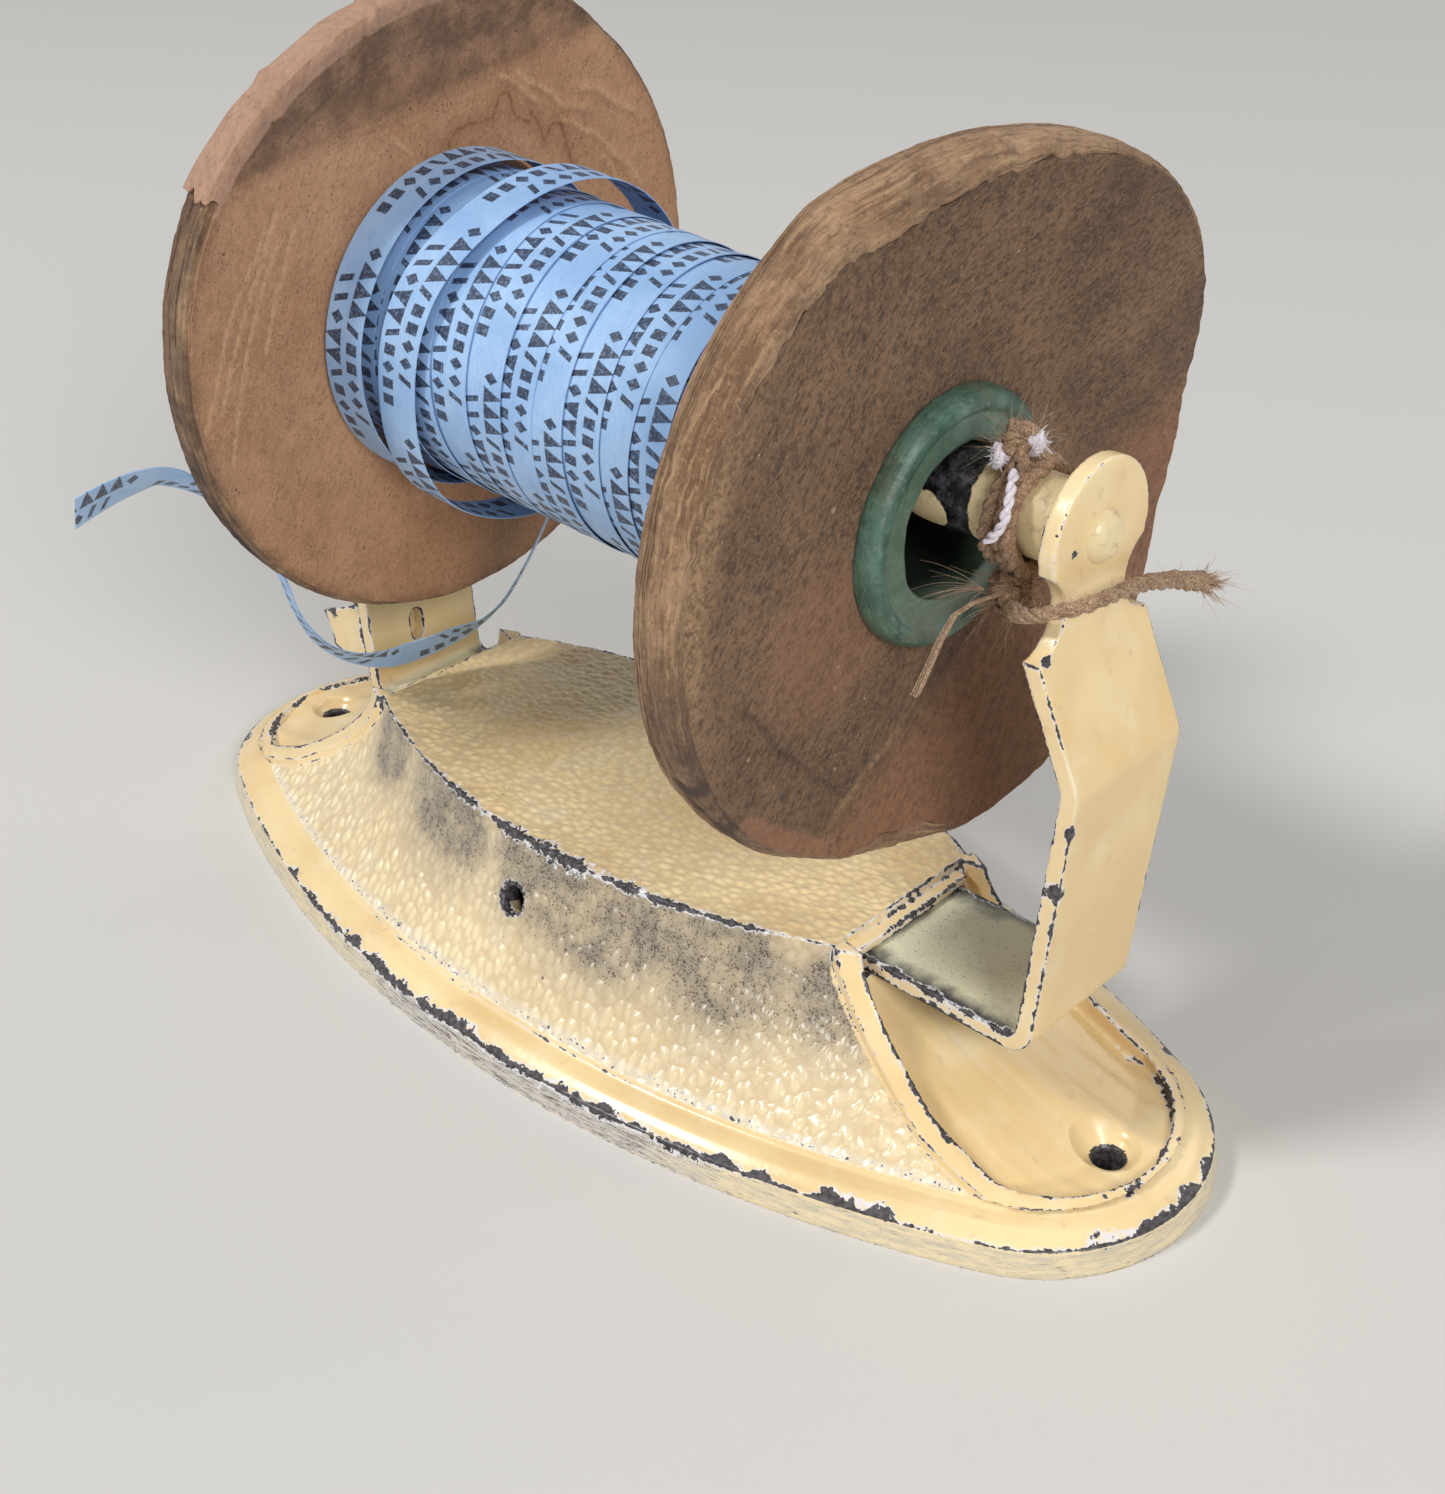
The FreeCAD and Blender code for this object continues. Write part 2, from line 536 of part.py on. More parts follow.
def strap_arm(name, side, push):
    """One arm: the strap lies in the foot's slot, turns up at the elbow and ends in the axle's eye."""
    def at(x):
        return f"{side} * (({x}) - {push})"

    across, up = mitre("lower_lean", "-upper_lean")
    knee_in = (f"knee_x - strap_thick * {across}", f"knee_height + strap_thick * {up}")
    shoulder_in = ("arm_inner_face", "shoulder_height - strap_thick * tan(upper_lean / 2)")
    elbow_in = ("elbow_x - strap_thick * (1 - sin(lower_lean)) / cos(lower_lean)", "strap_top")
    outer = [("elbow_x", "strap_under"), ("knee_x", "knee_height"), ("shoulder_x", "shoulder_height")]
    inner = [elbow_in, knee_in, shoulder_in]
    points = [("elbow_x - foot_length", "strap_under"), *outer, ("shoulder_x", "eye_top"),
              ("arm_inner_face", "eye_top"), *reversed(inner), ("elbow_x - foot_length", "strap_top")]
    body = doc.addObject("PartDesign::Body", name)
    profile = body_sketch(body, f"{name}_profile", "XZ_Plane", [(at(x), z) for x, z in points])
    pad = body.newObject("PartDesign::Pad", f"{name}_strap")
    pad.Profile = profile
    pad.Midplane = True
    bind(pad, Length="strap_width")
    doc.recompute()

    def bend(label, spots, radius):
        places = [(value(at(x)), value(z)) for x, z in spots]
        base = body.Tip
        fillet = body.newObject("PartDesign::Fillet", f"{name}_{label}")
        fillet.Base = (base, edges_near(base.Shape, places))
        bind(fillet, Radius=radius)
        doc.recompute()

    bend("inside_bends", [elbow_in, knee_in, outer[2]], "bend_radius")
    bend("outside_bends", [outer[0], outer[1], shoulder_in], "bend_radius + strap_thick")

    def pocket(label, plane, corners, bulges=None):
        hole = body.newObject("PartDesign::Pocket", f"{name}_{label}")
        hole.Profile = body_sketch(body, f"{name}_{label}_outline", plane, corners, bulges)
        hole.Type = "ThroughAll"
        hole.Midplane = True
        doc.recompute()

    def round_hole(label, y, z, radius):
        pocket(label, "YZ_Plane", [(f"{y} - {radius}", z), (f"{y} + {radius}", z)], {0: radius, 1: radius})

    round_hole("front_notch", "-notch_centre_y", "notch_height", "notch_radius")
    round_hole("rear_notch", "notch_centre_y", "notch_height", "notch_radius")
    round_hole("eye", "0", "axle_height", "spigot_radius")
    neck_top = "(notch_height + neck_rise)"
    half = f"sqrt(eye_radius ^ 2 - (axle_height - {neck_top}) ^ 2)"
    wide = "strap_width"
    pocket("round_top", "YZ_Plane",
           [(f"-{half}", neck_top), (half, neck_top), (wide, neck_top),
            (wide, "eye_top + 10"), (f"-{wide}", "eye_top + 10"), (f"-{wide}", neck_top)],
           {0: f"-(eye_top - {neck_top})"})
    slot_a = at("elbow_x - guide_slot_from - guide_slot_half")
    slot_b = at("elbow_x - guide_slot_to + guide_slot_half")
    turn = "-guide_slot_half" if side > 0 else "guide_slot_half"
    pocket("guide_slot", "XY_Plane",
           [(slot_a, "-guide_slot_half"), (slot_b, "-guide_slot_half"),
            (slot_b, "guide_slot_half"), (slot_a, "guide_slot_half")],
           {1: turn, 3: turn})
    if side < 0:
        low, high = "arm_hole_low + arm_hole_half", "arm_hole_high - arm_hole_half"
        left, right = "arm_hole_y - arm_hole_half", "arm_hole_y + arm_hole_half"
        pocket("oblong_hole", "YZ_Plane", [(left, low), (right, low), (right, high), (left, high)],
               {0: "arm_hole_half", 2: "arm_hole_half"})
        rise = "strap_under + tab_rivet_rise * cos(lower_lean)"
        round_hole("rivet_hole", "tab_rivet_y", rise, "(tab_rivet_radius + tab_rivet_play)")
    return body


def stub_axle(name, side, push):
    """The stub axle points inward from the arm's inner face; its spigot is peened over outside."""
    back = "-(strap_thick)"
    body = turned(name, [
        (f"{back} - peen_height", "0"), (f"{back} - peen_height", "peen_radius - peen_height"),
        (back, "peen_radius"), (back, "spigot_radius"), ("0", "spigot_radius"), ("0", "axle_radius"),
        ("axle_length - axle_chamfer", "axle_radius"), ("axle_length", "axle_radius - axle_chamfer"),
        ("axle_length", "0")], {1: "-peen_crown"})
    if side > 0:
        body.Placement = Placement(Vector(0, 0, 0), Rotation(Vector(0, 0, 1), 180))
    return place(body, f"{side} * (arm_inner_face - {push})", "0", "axle_height")


def lean_left(thing):
    thing.Placement = Placement(Vector(0, 0, 0), Rotation(Vector(0, -1, 0), 1))
    thing.setExpression(".Placement.Rotation.Angle", full("lower_lean"))


def leaning_frame(thing):
    """Puts a piece drawn at the elbow's outer corner against the left arm's leaning face."""
    lean_left(thing)
    return place(thing, "-(elbow_x - arm_push_in)", "0", "strap_under")


def left_tab():
    """The bent sheet on the left arm's outer face, with an ear that stands out at the front."""
    plate = box("tab_plate", "tab_thick", "tab_back_width", "tab_high - tab_low",
                "-tab_thick", "-strap_width / 2", "tab_low")
    hole = cylinder("tab_hole", "tab_rivet_radius", "4 * tab_thick")
    hole.Placement = Placement(Vector(0, 0, 0), Rotation(Vector(0, 1, 0), -90))
    place(hole, "tab_thick", "tab_rivet_y", "tab_rivet_rise")
    ear = doc.addObject("Sketcher::SketchObject", "ear_outline")
    outline(ear, [("0", "ear_low"), ("0", "ear_high"), ("-tab_reach", "ear_high - ear_top_drop"),
                  ("-tab_reach * 0.85", "ear_low + ear_tip_rise"), ("-tab_reach * 0.5", "ear_low - ear_dip")],
            {2: "-ear_bulge"})
    ear.Placement = Placement(Vector(0, 0, 0), Rotation(Vector(1, 0, 0), 90))
    place(ear, "0", "-strap_width / 2")
    blade = doc.addObject("Part::Extrusion", "ear_blade")
    blade.Base = ear
    blade.DirMode = "Custom"
    blade.Dir = Vector(0, 1, 0)
    blade.Solid = True
    bind(blade, LengthFwd="tab_thick")
    return leaning_frame(cut("left_tab", fuse("tab_sheet", [plate, blade]), hole))


def left_tab_rivet():
    back = "tab_thick"
    front = "strap_thick"
    body = turned("left_tab_rivet", [
        (f"-{back} - tab_rivet_head_height", "0"), (f"-{back} - tab_rivet_head_height", "tab_rivet_radius"),
        (f"-{back}", "tab_rivet_head"), (f"-{back}", "tab_rivet_radius"), (front, "tab_rivet_radius"),
        (front, "tab_rivet_head"), (f"{front} + tab_rivet_head_height", "tab_rivet_radius"),
        (f"{front} + tab_rivet_head_height", "0")])
    lean_left(body)
    return place(body, "-(elbow_x - arm_push_in) - tab_rivet_rise * sin(lower_lean)", "tab_rivet_y",
                 "strap_under + tab_rivet_rise * cos(lower_lean)")


# Spool
def core_tube():
    return on_spool(turned("core_tube", [
        ("left_outer", "core_inner"), ("right_outer", "core_inner"),
        ("right_outer", "core_outer"), ("left_outer", "core_outer")]))


def collar(name, face, way):
    """A green collar: a flat ring with a rounded lip outside the flange and a spigot in the core."""
    def at(x):
        return f"{face} + {way} * ({x})"

    return on_spool(turned(name, [
        (at("-collar_spigot"), "collar_bore"), (at("collar_proud - collar_edge"), "collar_bore"),
        (at("collar_proud"), "collar_bore + collar_edge"), (at("collar_proud"), "collar_radius - collar_lip"),
        (at("collar_side"), "collar_radius"), (at("0"), "collar_radius"),
        (at("0"), "core_inner - seat_clearance"), (at("-collar_spigot"), "core_inner - seat_clearance")],
        {3: f"-({way} * collar_lip_bulge)"}))


def left_bush():
    """The bush in the left collar's bore, which runs on the left axle."""
    middle = "bush_length / 2"
    return on_spool(turned("left_bush", [
        (f"-{middle}", "axle_radius + bush_clearance"), (middle, "axle_radius + bush_clearance"),
        (middle, "collar_bore"), (f"-{middle}", "collar_bore")]))


def tape_winding():
    left, right = "left_face + winding_gap", "right_face - winding_gap"
    inside = "core_outer + seat_clearance"
    return on_spool(turned("tape_winding", [
        (left, inside), (right, inside), (right, "winding_right"),
        ("left_face + winding_waist_share * flange_gap", "winding_waist"),
        ("left_face + winding_shoulder_share * flange_gap", "winding_left - winding_dip"),
        (left, "winding_left")]))


def loose_turn():
    """The slack turn that lies askew round the winding and hangs down below it."""
    way = "90 + loose_turn_lean"
    x = "loose_turn_x - tape_width / 2 * cos(loose_turn_lean)"
    z = "tape_width / 2 * sin(loose_turn_lean) - loose_turn_drop"
    rings = []
    for name, radius in (("slack_outer", "loose_turn_radius + loose_turn_thick"),
                         ("slack_inner", "loose_turn_radius")):
        ring = cylinder(name, radius, "tape_width")
        ring.Placement = Placement(Vector(0, 0, 0), Rotation(Vector(0, 1, 0), 90))
        ring.setExpression(".Placement.Rotation.Angle", full(way))
        rings.append(place(ring, x, "0", z))
    return on_spool(cut("loose_turn", *rings))


def fold(y, z, across, up, reach, slope):
    """How far a sheet is bent away beyond a crease that lies square to (across, up)."""
    beyond = max(0.0, (y * across + z * up) / math.hypot(across, up) - reach)
    return slope * beyond ** 2 / (beyond + value("fold_softness"))


def right_warp(y, z):
    return (fold(y, z, 0.57, -0.82, value("right_low_reach"), value("right_low_slope"))
            + fold(y, z, 0.64, 0.77, value("right_top_reach"), value("right_top_slope")))


def left_warp(y, z):
    return fold(y, z, -0.16, 0.987, value("left_fold_reach"), value("left_fold_slope"))


def warped_face(x, bore, rim, warp):
    """A ring-shaped face through points on circles, pushed along the axis by the warp."""
    turns, rings = 48, 7
    grid = []
    for step in range(turns + 1):
        turn = 2 * math.pi * (step % turns) / turns
        row = []
        for ring in range(rings):
            radius = bore + (rim - bore) * ring / (rings - 1)
            y, z = radius * math.cos(turn), radius * math.sin(turn)
            row.append(Vector(x + warp(y, z), y, z))
        grid.append(row)
    surface = Part.BSplineSurface()
    surface.interpolate(grid)
    return surface


def warped_ring(name, x_low, x_high, bore, rim, warp):
    """A flange layer between two warped faces, closed by a rim and a bore."""
    low = warped_face(value(x_low), value(bore), value(rim), warp)
    high = warped_face(value(x_high), value(bore), value(rim), warp)
    walls = []
    for end in (0, 1):
        near, far = [face.vIso(face.bounds()[2 + end]).toShape() for face in (low, high)]
        walls.append(Part.makeRuledSurface(near, far))
    shell = Part.makeShell([low.toShape(), high.toShape(), *walls])
    shell.sewShape()
    solid = Part.makeSolid(Part.makeShell(shell.Faces))
    if solid.Volume < 0:
        solid.reverse()
    piece = doc.addObject("Part::Feature", name)
    piece.Shape = solid
    piece.Placement = spool_placement()
    return piece


def flange(side, x_low, x_high, warp, inner_low):
    """A pulpboard disc with a kraft facing on each side."""
    names = (f"{side}_inner_facing", f"{side}_outer_facing")
    low_name, high_name = names if inner_low else names[::-1]
    facing_rim = "flange_radius - facing_margin"
    bore = "core_outer + seat_clearance"
    return [
        warped_ring(low_name, x_low, f"{x_low} + facing_thick", bore, facing_rim, warp),
        warped_ring(f"{side}_flange_board", f"{x_low} + facing_thick", f"{x_high} - facing_thick",
                    bore, "flange_radius", warp),
        warped_ring(high_name, f"{x_high} - facing_thick", x_high, bore, facing_rim, warp)]


# Twine and loose tape
def torus(name, ring_radius, x, y, z, axis):
    ring = bind(doc.addObject("Part::Torus", name), Radius1=ring_radius, Radius2="twine_radius")
    ring.Placement = Placement(Vector(0, 0, 0), Rotation(Vector(0, 0, 1), Vector(*axis)))
    return place(ring, x, y, z)


def twine_wraps():
    turns = []
    for number in range(3):
        x = f"twine_first_x + {number} * (2 * twine_radius + twine_gap)"
        turns.append(torus(f"twine_turn_{number + 1}", "axle_radius + twine_gap + twine_radius",
                           x, "0", "axle_height", (1, 0, 0)))
    return fuse("twine_wraps", turns)


def knot(name, x, y, z):
    """A ball of twine with one loop round it."""
    ball = place(bind(doc.addObject("Part::Sphere", f"{name}_ball"), Radius="knot_radius"), x, y, z)
    return fuse(name, [ball, torus(f"{name}_loop", "knot_loop_radius", x, y, z, (0, 0, 1))])


WRAP_REACH = "axle_radius + 2 * twine_gap + 2 * twine_radius + knot_radius"


def upper_knot():
    return knot("twine_upper_knot", "twine_first_x + knot_shift", "0", f"axle_height + {WRAP_REACH}")


def lower_knot():
    return knot("twine_lower_knot", "twine_first_x + knot_shift", "0", f"axle_height - ({WRAP_REACH})")


def cord_path(points):
    """Straight runs joined by tangent arcs, and the arcs' radii."""
    edges, radii = [], []
    start = points[0]
    for before, corner, after in zip(points, points[1:], points[2:]):
        back = (before - corner)
        ahead = (after - corner)
        shorter = min(back.Length, ahead.Length)
        half_turn = (math.pi - back.getAngle(ahead)) / 2
        reach = 0.45 * shorter
        radii.append(reach / math.tan(half_turn))
        back.normalize()
        ahead.normalize()
        first, last = corner + back * reach, corner + ahead * reach
        inward = (back + ahead).normalize()
        middle = corner + inward * (radii[-1] / math.cos(half_turn) - radii[-1])
        edges.append(Part.LineSegment(start, first).toShape())
        edges.append(Part.Arc(first, middle, last).toShape())
        start = last
    edges.append(Part.LineSegment(start, points[-1]).toShape())
    return Part.Wire(edges), radii


def cord_tube(name, route, radius):
    points = [Vector(*point) for point in route]
    path, radii = cord_path(points)
    along = (points[1] - points[0]).normalize()
    ring = Part.Wire(Part.makeCircle(radius, points[0], along))
    tube = path.makePipeShell([ring], True, False)
    expected = math.pi * radius ** 2 * path.Length
    print(name, "length", round(path.Length, 1), "volume share", round(tube.Volume / expected, 4),
          "radii", [round(r, 1) for r in radii])
    piece = doc.addObject("Part::Feature", name)
    piece.Shape = tube
    return piece


LOOSE_TAPE_ROUTE = [
    (-41.5, 22.1, 95.1), (-41.5, 19.2, 82.0), (-42.0, 12.5, 69.5), (-43.5, 6.0, 59.5),
    (-47.5, 3.0, 52.0), (-52.5, -1.0, 47.5), (-57.0, -9.0, 44.2), (-59.5, -19.0, 44.8),
    (-61.2, -28.0, 50.2), (-61.8, -33.6, 59.5), (-61.8, -36.2, 70.0), (-61.8, -40.8, 80.5),
    (-61.8, -49.0, 91.0), (-61.8, -60.5, 97.8), (-61.5, -74.0, 94.5),
]
TWINE_TAIL_ROUTE = [
    (79.5, -4.4, 100.6), (83.2, -9.4, 102.4), (89.2, -11.6, 105.4), (94.6, -7.8, 107.4),
    (95.3, 1.5, 107.2), (95.4, 11.0, 105.0), (96.3, 20.0, 101.4),
]

SUBPARTS = [
    base_casting(), foot_washers(), foot_screws(),
    strap_arm("right_arm", 1, "0"), stub_axle("right_axle", 1, "0"),
    strap_arm("left_arm", -1, "arm_push_in"), stub_axle("left_axle", -1, "arm_push_in"),
    left_tab(), left_tab_rivet(),
    core_tube(), collar("left_collar", "left_outer", -1), collar("right_collar", "right_outer", 1),
    left_bush(), tape_winding(), loose_turn(),
    *flange("left", "left_outer", "left_face", left_warp, False),
    *flange("right", "right_face", "right_outer", right_warp, True),
    twine_wraps(), upper_knot(), lower_knot(),
    cord_tube("loose_tape", LOOSE_TAPE_ROUTE, value("tape_cord_radius")),
    cord_tube("twine_tail", TWINE_TAIL_ROUTE, value("twine_radius")),
]


def check_all():
    doc.recompute()
    failed = [thing.Name for thing in doc.Objects if {"Invalid", "Error"} & set(thing.State)]
    empty = [piece.Label for piece in SUBPARTS if piece.Shape.isNull() or not piece.Shape.isValid()
             or not piece.Shape.Solids]
    if failed or empty:
        raise RuntimeError(f"failed objects {failed}, bad shapes {empty}")


def write_all():
    os.makedirs("parts", exist_ok=True)
    for piece in SUBPARTS:
        piece.Shape.exportStep(f"parts/{piece.Label}.step")
        print(piece.Label, len(piece.Shape.Solids), "solids", round(piece.Shape.Volume), "mm3")


check_all()
write_all()
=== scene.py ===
"""Looks of the counter-top tying-tape dispenser: enamelled iron, pulpboard, paper tape and jute twine.

The object's sizes and places are in millimetres and multiplied by MM where a mesh is made. They stand in
the part's own frame, and those of the spool about its pivot and axis. Meshes, paths, the camera, the
floor and the lamps are in metres.
"""
import json
import math
import random

import bmesh
import bpy
import numpy as np
from mathutils import Matrix, Vector, kdtree, noise


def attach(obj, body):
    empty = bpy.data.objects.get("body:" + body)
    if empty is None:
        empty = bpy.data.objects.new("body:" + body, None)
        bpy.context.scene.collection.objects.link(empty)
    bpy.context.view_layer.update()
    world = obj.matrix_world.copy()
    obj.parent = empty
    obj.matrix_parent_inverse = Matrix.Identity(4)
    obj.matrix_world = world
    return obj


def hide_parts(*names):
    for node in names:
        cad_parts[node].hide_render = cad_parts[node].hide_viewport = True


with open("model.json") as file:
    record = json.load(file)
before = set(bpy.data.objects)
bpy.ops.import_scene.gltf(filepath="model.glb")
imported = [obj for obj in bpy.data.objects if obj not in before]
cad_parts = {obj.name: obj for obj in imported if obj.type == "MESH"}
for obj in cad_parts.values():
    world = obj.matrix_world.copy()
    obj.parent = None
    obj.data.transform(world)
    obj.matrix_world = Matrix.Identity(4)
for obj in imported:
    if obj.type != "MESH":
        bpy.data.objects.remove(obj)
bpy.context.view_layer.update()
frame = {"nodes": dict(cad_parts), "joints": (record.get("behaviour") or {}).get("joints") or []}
NODES = frame["nodes"]
MM = 0.001
SPIN = [joint for joint in frame["joints"] if joint["name"] == "spool_spin"][0]
LEAN = math.atan2(-SPIN["axis"][2], SPIN["axis"][0])
SPOOL = np.array(Matrix.Translation(Vector(SPIN["pos_m"])) @ Matrix.Rotation(LEAN, 4, "Y"))


# Camera, in pixels of the photo, degrees and metres
IMAGE_HEIGHT, FOCAL_PIXELS, SENSOR = 1494, 1950.0, 36
CAMERA_AZIMUTH, CAMERA_ELEVATION, CAMERA_ROLL = 43.76, 31.67, -0.39
CAMERA_PLACE = (0.22272, -0.21472, 0.2319)


def direction(azimuth, elevation):
    """The way to a place round the object, from degrees; azimuth 0 is the front and 90 the right."""
    azimuth, elevation = math.radians(azimuth), math.radians(elevation)
    return Vector((math.sin(azimuth) * math.cos(elevation), -math.cos(azimuth) * math.cos(elevation),
                   math.sin(elevation)))


def add_object(name, data):
    made = bpy.data.objects.new(name, data)
    bpy.context.scene.collection.objects.link(made)
    return made


def make_camera():
    """The camera that sees the object as the photo does."""
    camera = add_object("camera", bpy.data.cameras.new("camera"))
    camera.rotation_mode = "QUATERNION"
    level = direction(CAMERA_AZIMUTH, CAMERA_ELEVATION).to_track_quat("Z", "Y").to_matrix()
    camera.rotation_quaternion = (level @ Matrix.Rotation(math.radians(CAMERA_ROLL), 3, "Z")).to_quaternion()
    camera.location = CAMERA_PLACE
    camera.data.sensor_fit = "VERTICAL"
    camera.data.sensor_height = SENSOR
    camera.data.lens = FOCAL_PIXELS * SENSOR / IMAGE_HEIGHT
    camera.data.clip_start = 0.01
    bpy.context.scene.camera = camera


# Mesh tools
def read_vectors(items, key):
    flat = np.empty(len(items) * 3, np.float32)
    items.foreach_get(key, flat)
    return flat.reshape(-1, 3).astype(float)


def points_of(mesh):
    return read_vectors(mesh.vertices, "co")


def normals_of(mesh):
    return read_vectors(mesh.vertex_normals, "vector")


def set_attributes(mesh, **attributes):
    """Attributes of the vertices, each a value per vertex or one for all."""
    for name, values in attributes.items():
        layer = mesh.attributes.get(name) or mesh.attributes.new(name, "FLOAT", "POINT")
        flat = np.broadcast_to(np.asarray(values, np.float32).ravel(), len(mesh.vertices))
        layer.data.foreach_set("value", np.ascontiguousarray(flat))


def mesh_from(name, points, faces, attributes=None, sharp=40):
    mesh = bpy.data.meshes.new(name)
    mesh.from_pydata(points.tolist(), [], faces.tolist() if hasattr(faces, "tolist") else faces)
    mesh.validate()
    set_attributes(mesh, **(attributes or {}))
    mesh.polygons.foreach_set("use_smooth", [True] * len(mesh.polygons))
    mesh.set_sharp_from_angle(angle=math.radians(sharp))
    return mesh


def finish_piece(piece, body, slot, material, *replaced):
    piece.data.materials.clear()
    piece.data.materials.append(MATERIALS[material])
    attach(piece, body)
    if replaced:
        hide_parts(*replaced)
    return piece


def make_piece(name, points, faces, body, slot, material, *replaced, attributes=None, sharp=40):
    """A piece of the looks that rides on a body, in place of the CAD nodes named last."""
    piece = add_object(name, mesh_from(name, points, faces, attributes, sharp))
    return finish_piece(piece, body, slot, material, *replaced)


def grid_faces(rows, columns, close_rows=False, close_columns=True, flip=False):
    """Quads over a grid of points stored row by row."""
    r = np.arange(rows if close_rows else rows - 1)
    c = np.arange(columns if close_columns else columns - 1)
    r, c = np.meshgrid(r, c, indexing="ij")
    r2, c2 = (r + 1) % rows, (c + 1) % columns
    quads = np.stack([r * columns + c, r * columns + c2, r2 * columns + c2, r2 * columns + c], -1)
    return quads.reshape(-1, 4)[:, ::-1 if flip else 1]


def tube_faces(rows, columns):
    """Faces of a closed tube whose rings are stored one after another, with both ends capped."""
    last = (rows - 1) * columns
    caps = [list(range(columns)), list(range(last + columns - 1, last - 1, -1))]
    return grid_faces(rows, columns).tolist() + caps


def joined(parts):
    """One points and faces pair from several."""
    points, faces, count = [], [], 0
    for some_points, some_faces in parts:
        points.append(some_points)
        faces.extend([index + count for index in face] for face in some_faces)
        count += len(some_points)
    return np.concatenate(points), faces


def fractal(points, scale, octaves=3, seed=0.0):
    """Smooth noise of about -1 to 1 at each point; scale is in features per metre."""
    shift = Vector((seed, seed * 1.7, -seed))
    return np.array([noise.fractal(Vector(p) * scale + shift, 1.0, 2.0, octaves) for p in points])


def smoothstep(low, high, x):
    t = np.clip((np.asarray(x, float) - low) / (high - low), 0, 1)
    return t * t * (3 - 2 * t)


def to_world(local_mm):
    """Points given in millimetres about the spool's pivot and axis."""
    local = np.asarray(local_mm, float).reshape(-1, 3) * MM
    return local @ SPOOL[:3, :3].T + SPOOL[:3, 3]


def circle(count):
    return np.linspace(0, 2 * math.pi, count, endpoint=False)


def ring(x, radius, turn):
    """Points round the X axis, at each turn in radians."""
    y, z = radius * np.cos(turn), radius * np.sin(turn)
    return np.stack([np.broadcast_to(x, y.shape), y, z], -1)


def resampled(points, count):
    """A broken line's points, evenly spread by their number."""
    at = np.linspace(0, len(points) - 1, count)
    return np.stack([np.interp(at, range(len(points)), column) for column in zip(*points)], 1)


# Paths in metres
def unit(vectors):
    return vectors / np.linalg.norm(vectors, axis=1)[:, None]


def squared(vectors, tangents):
    """The directions turned square to the tangents."""
    return unit(vectors - tangents * (vectors * tangents).sum(1)[:, None])


def steps_along(path):
    """How far each point is along the path."""
    return np.concatenate([[0.0], np.linalg.norm(np.diff(path, axis=0), axis=1).cumsum()])


def frames_along(path):
    """Tangent, normal and binormal at each point of a path, without twist."""
    tangents = unit(np.gradient(path, axis=0))
    current = np.array((0.0, 0.0, 1.0))
    if abs(tangents[0] @ current) > 0.9:
        current = np.array((1.0, 0.0, 0.0))
    normals = []
    for tangent in tangents:
        current = current - tangent * (current @ tangent)
        current = current / np.linalg.norm(current)
        normals.append(current)
    normals = np.array(normals)
    return tangents, normals, np.cross(tangents, normals)


def tube(path, radius, sides=8):
    """Points and faces of a closed tube along a path; radius is a number or one per point."""
    path = np.asarray(path, float)
    radius = np.broadcast_to(np.asarray(radius, float), (len(path),))
    _, normals, sidewise = frames_along(path)
    turn = circle(sides)[None, :, None]
    round_path = normals[:, None, :] * np.cos(turn) + sidewise[:, None, :] * np.sin(turn)
    points = path[:, None, :] + round_path * radius[:, None, None]
    return points.reshape(-1, 3), tube_faces(len(path), sides)


def nurbs_path(name, route_mm, resolution=24):
    """The smooth line of a cord: a NURBS spline with the route as its control points."""
    curve = bpy.data.curves.new(name, "CURVE")
    curve.dimensions = "3D"
    spline = curve.splines.new("NURBS")
    spline.points.add(len(route_mm) - 1)
    for point, place in zip(spline.points, route_mm):
        point.co = (*(value * MM for value in place), 1)
    spline.order_u = 3
    spline.use_endpoint_u = True
    spline.resolution_u = resolution
    carrier = add_object(name, curve)
    mesh = bpy.data.meshes.new_from_object(carrier)
    path = points_of(mesh)
    bpy.data.objects.remove(carrier)
    bpy.data.meshes.remove(mesh)
    return path


# Node tools
def colour(red, green, blue):
    """A display colour of 0 to 255 per channel as the linear colour that shaders take."""
    def linear(value):
        value /= 255
        return value / 12.92 if value <= 0.04045 else ((value + 0.055) / 1.055) ** 2.4
    return (linear(red), linear(green), linear(blue), 1.0)


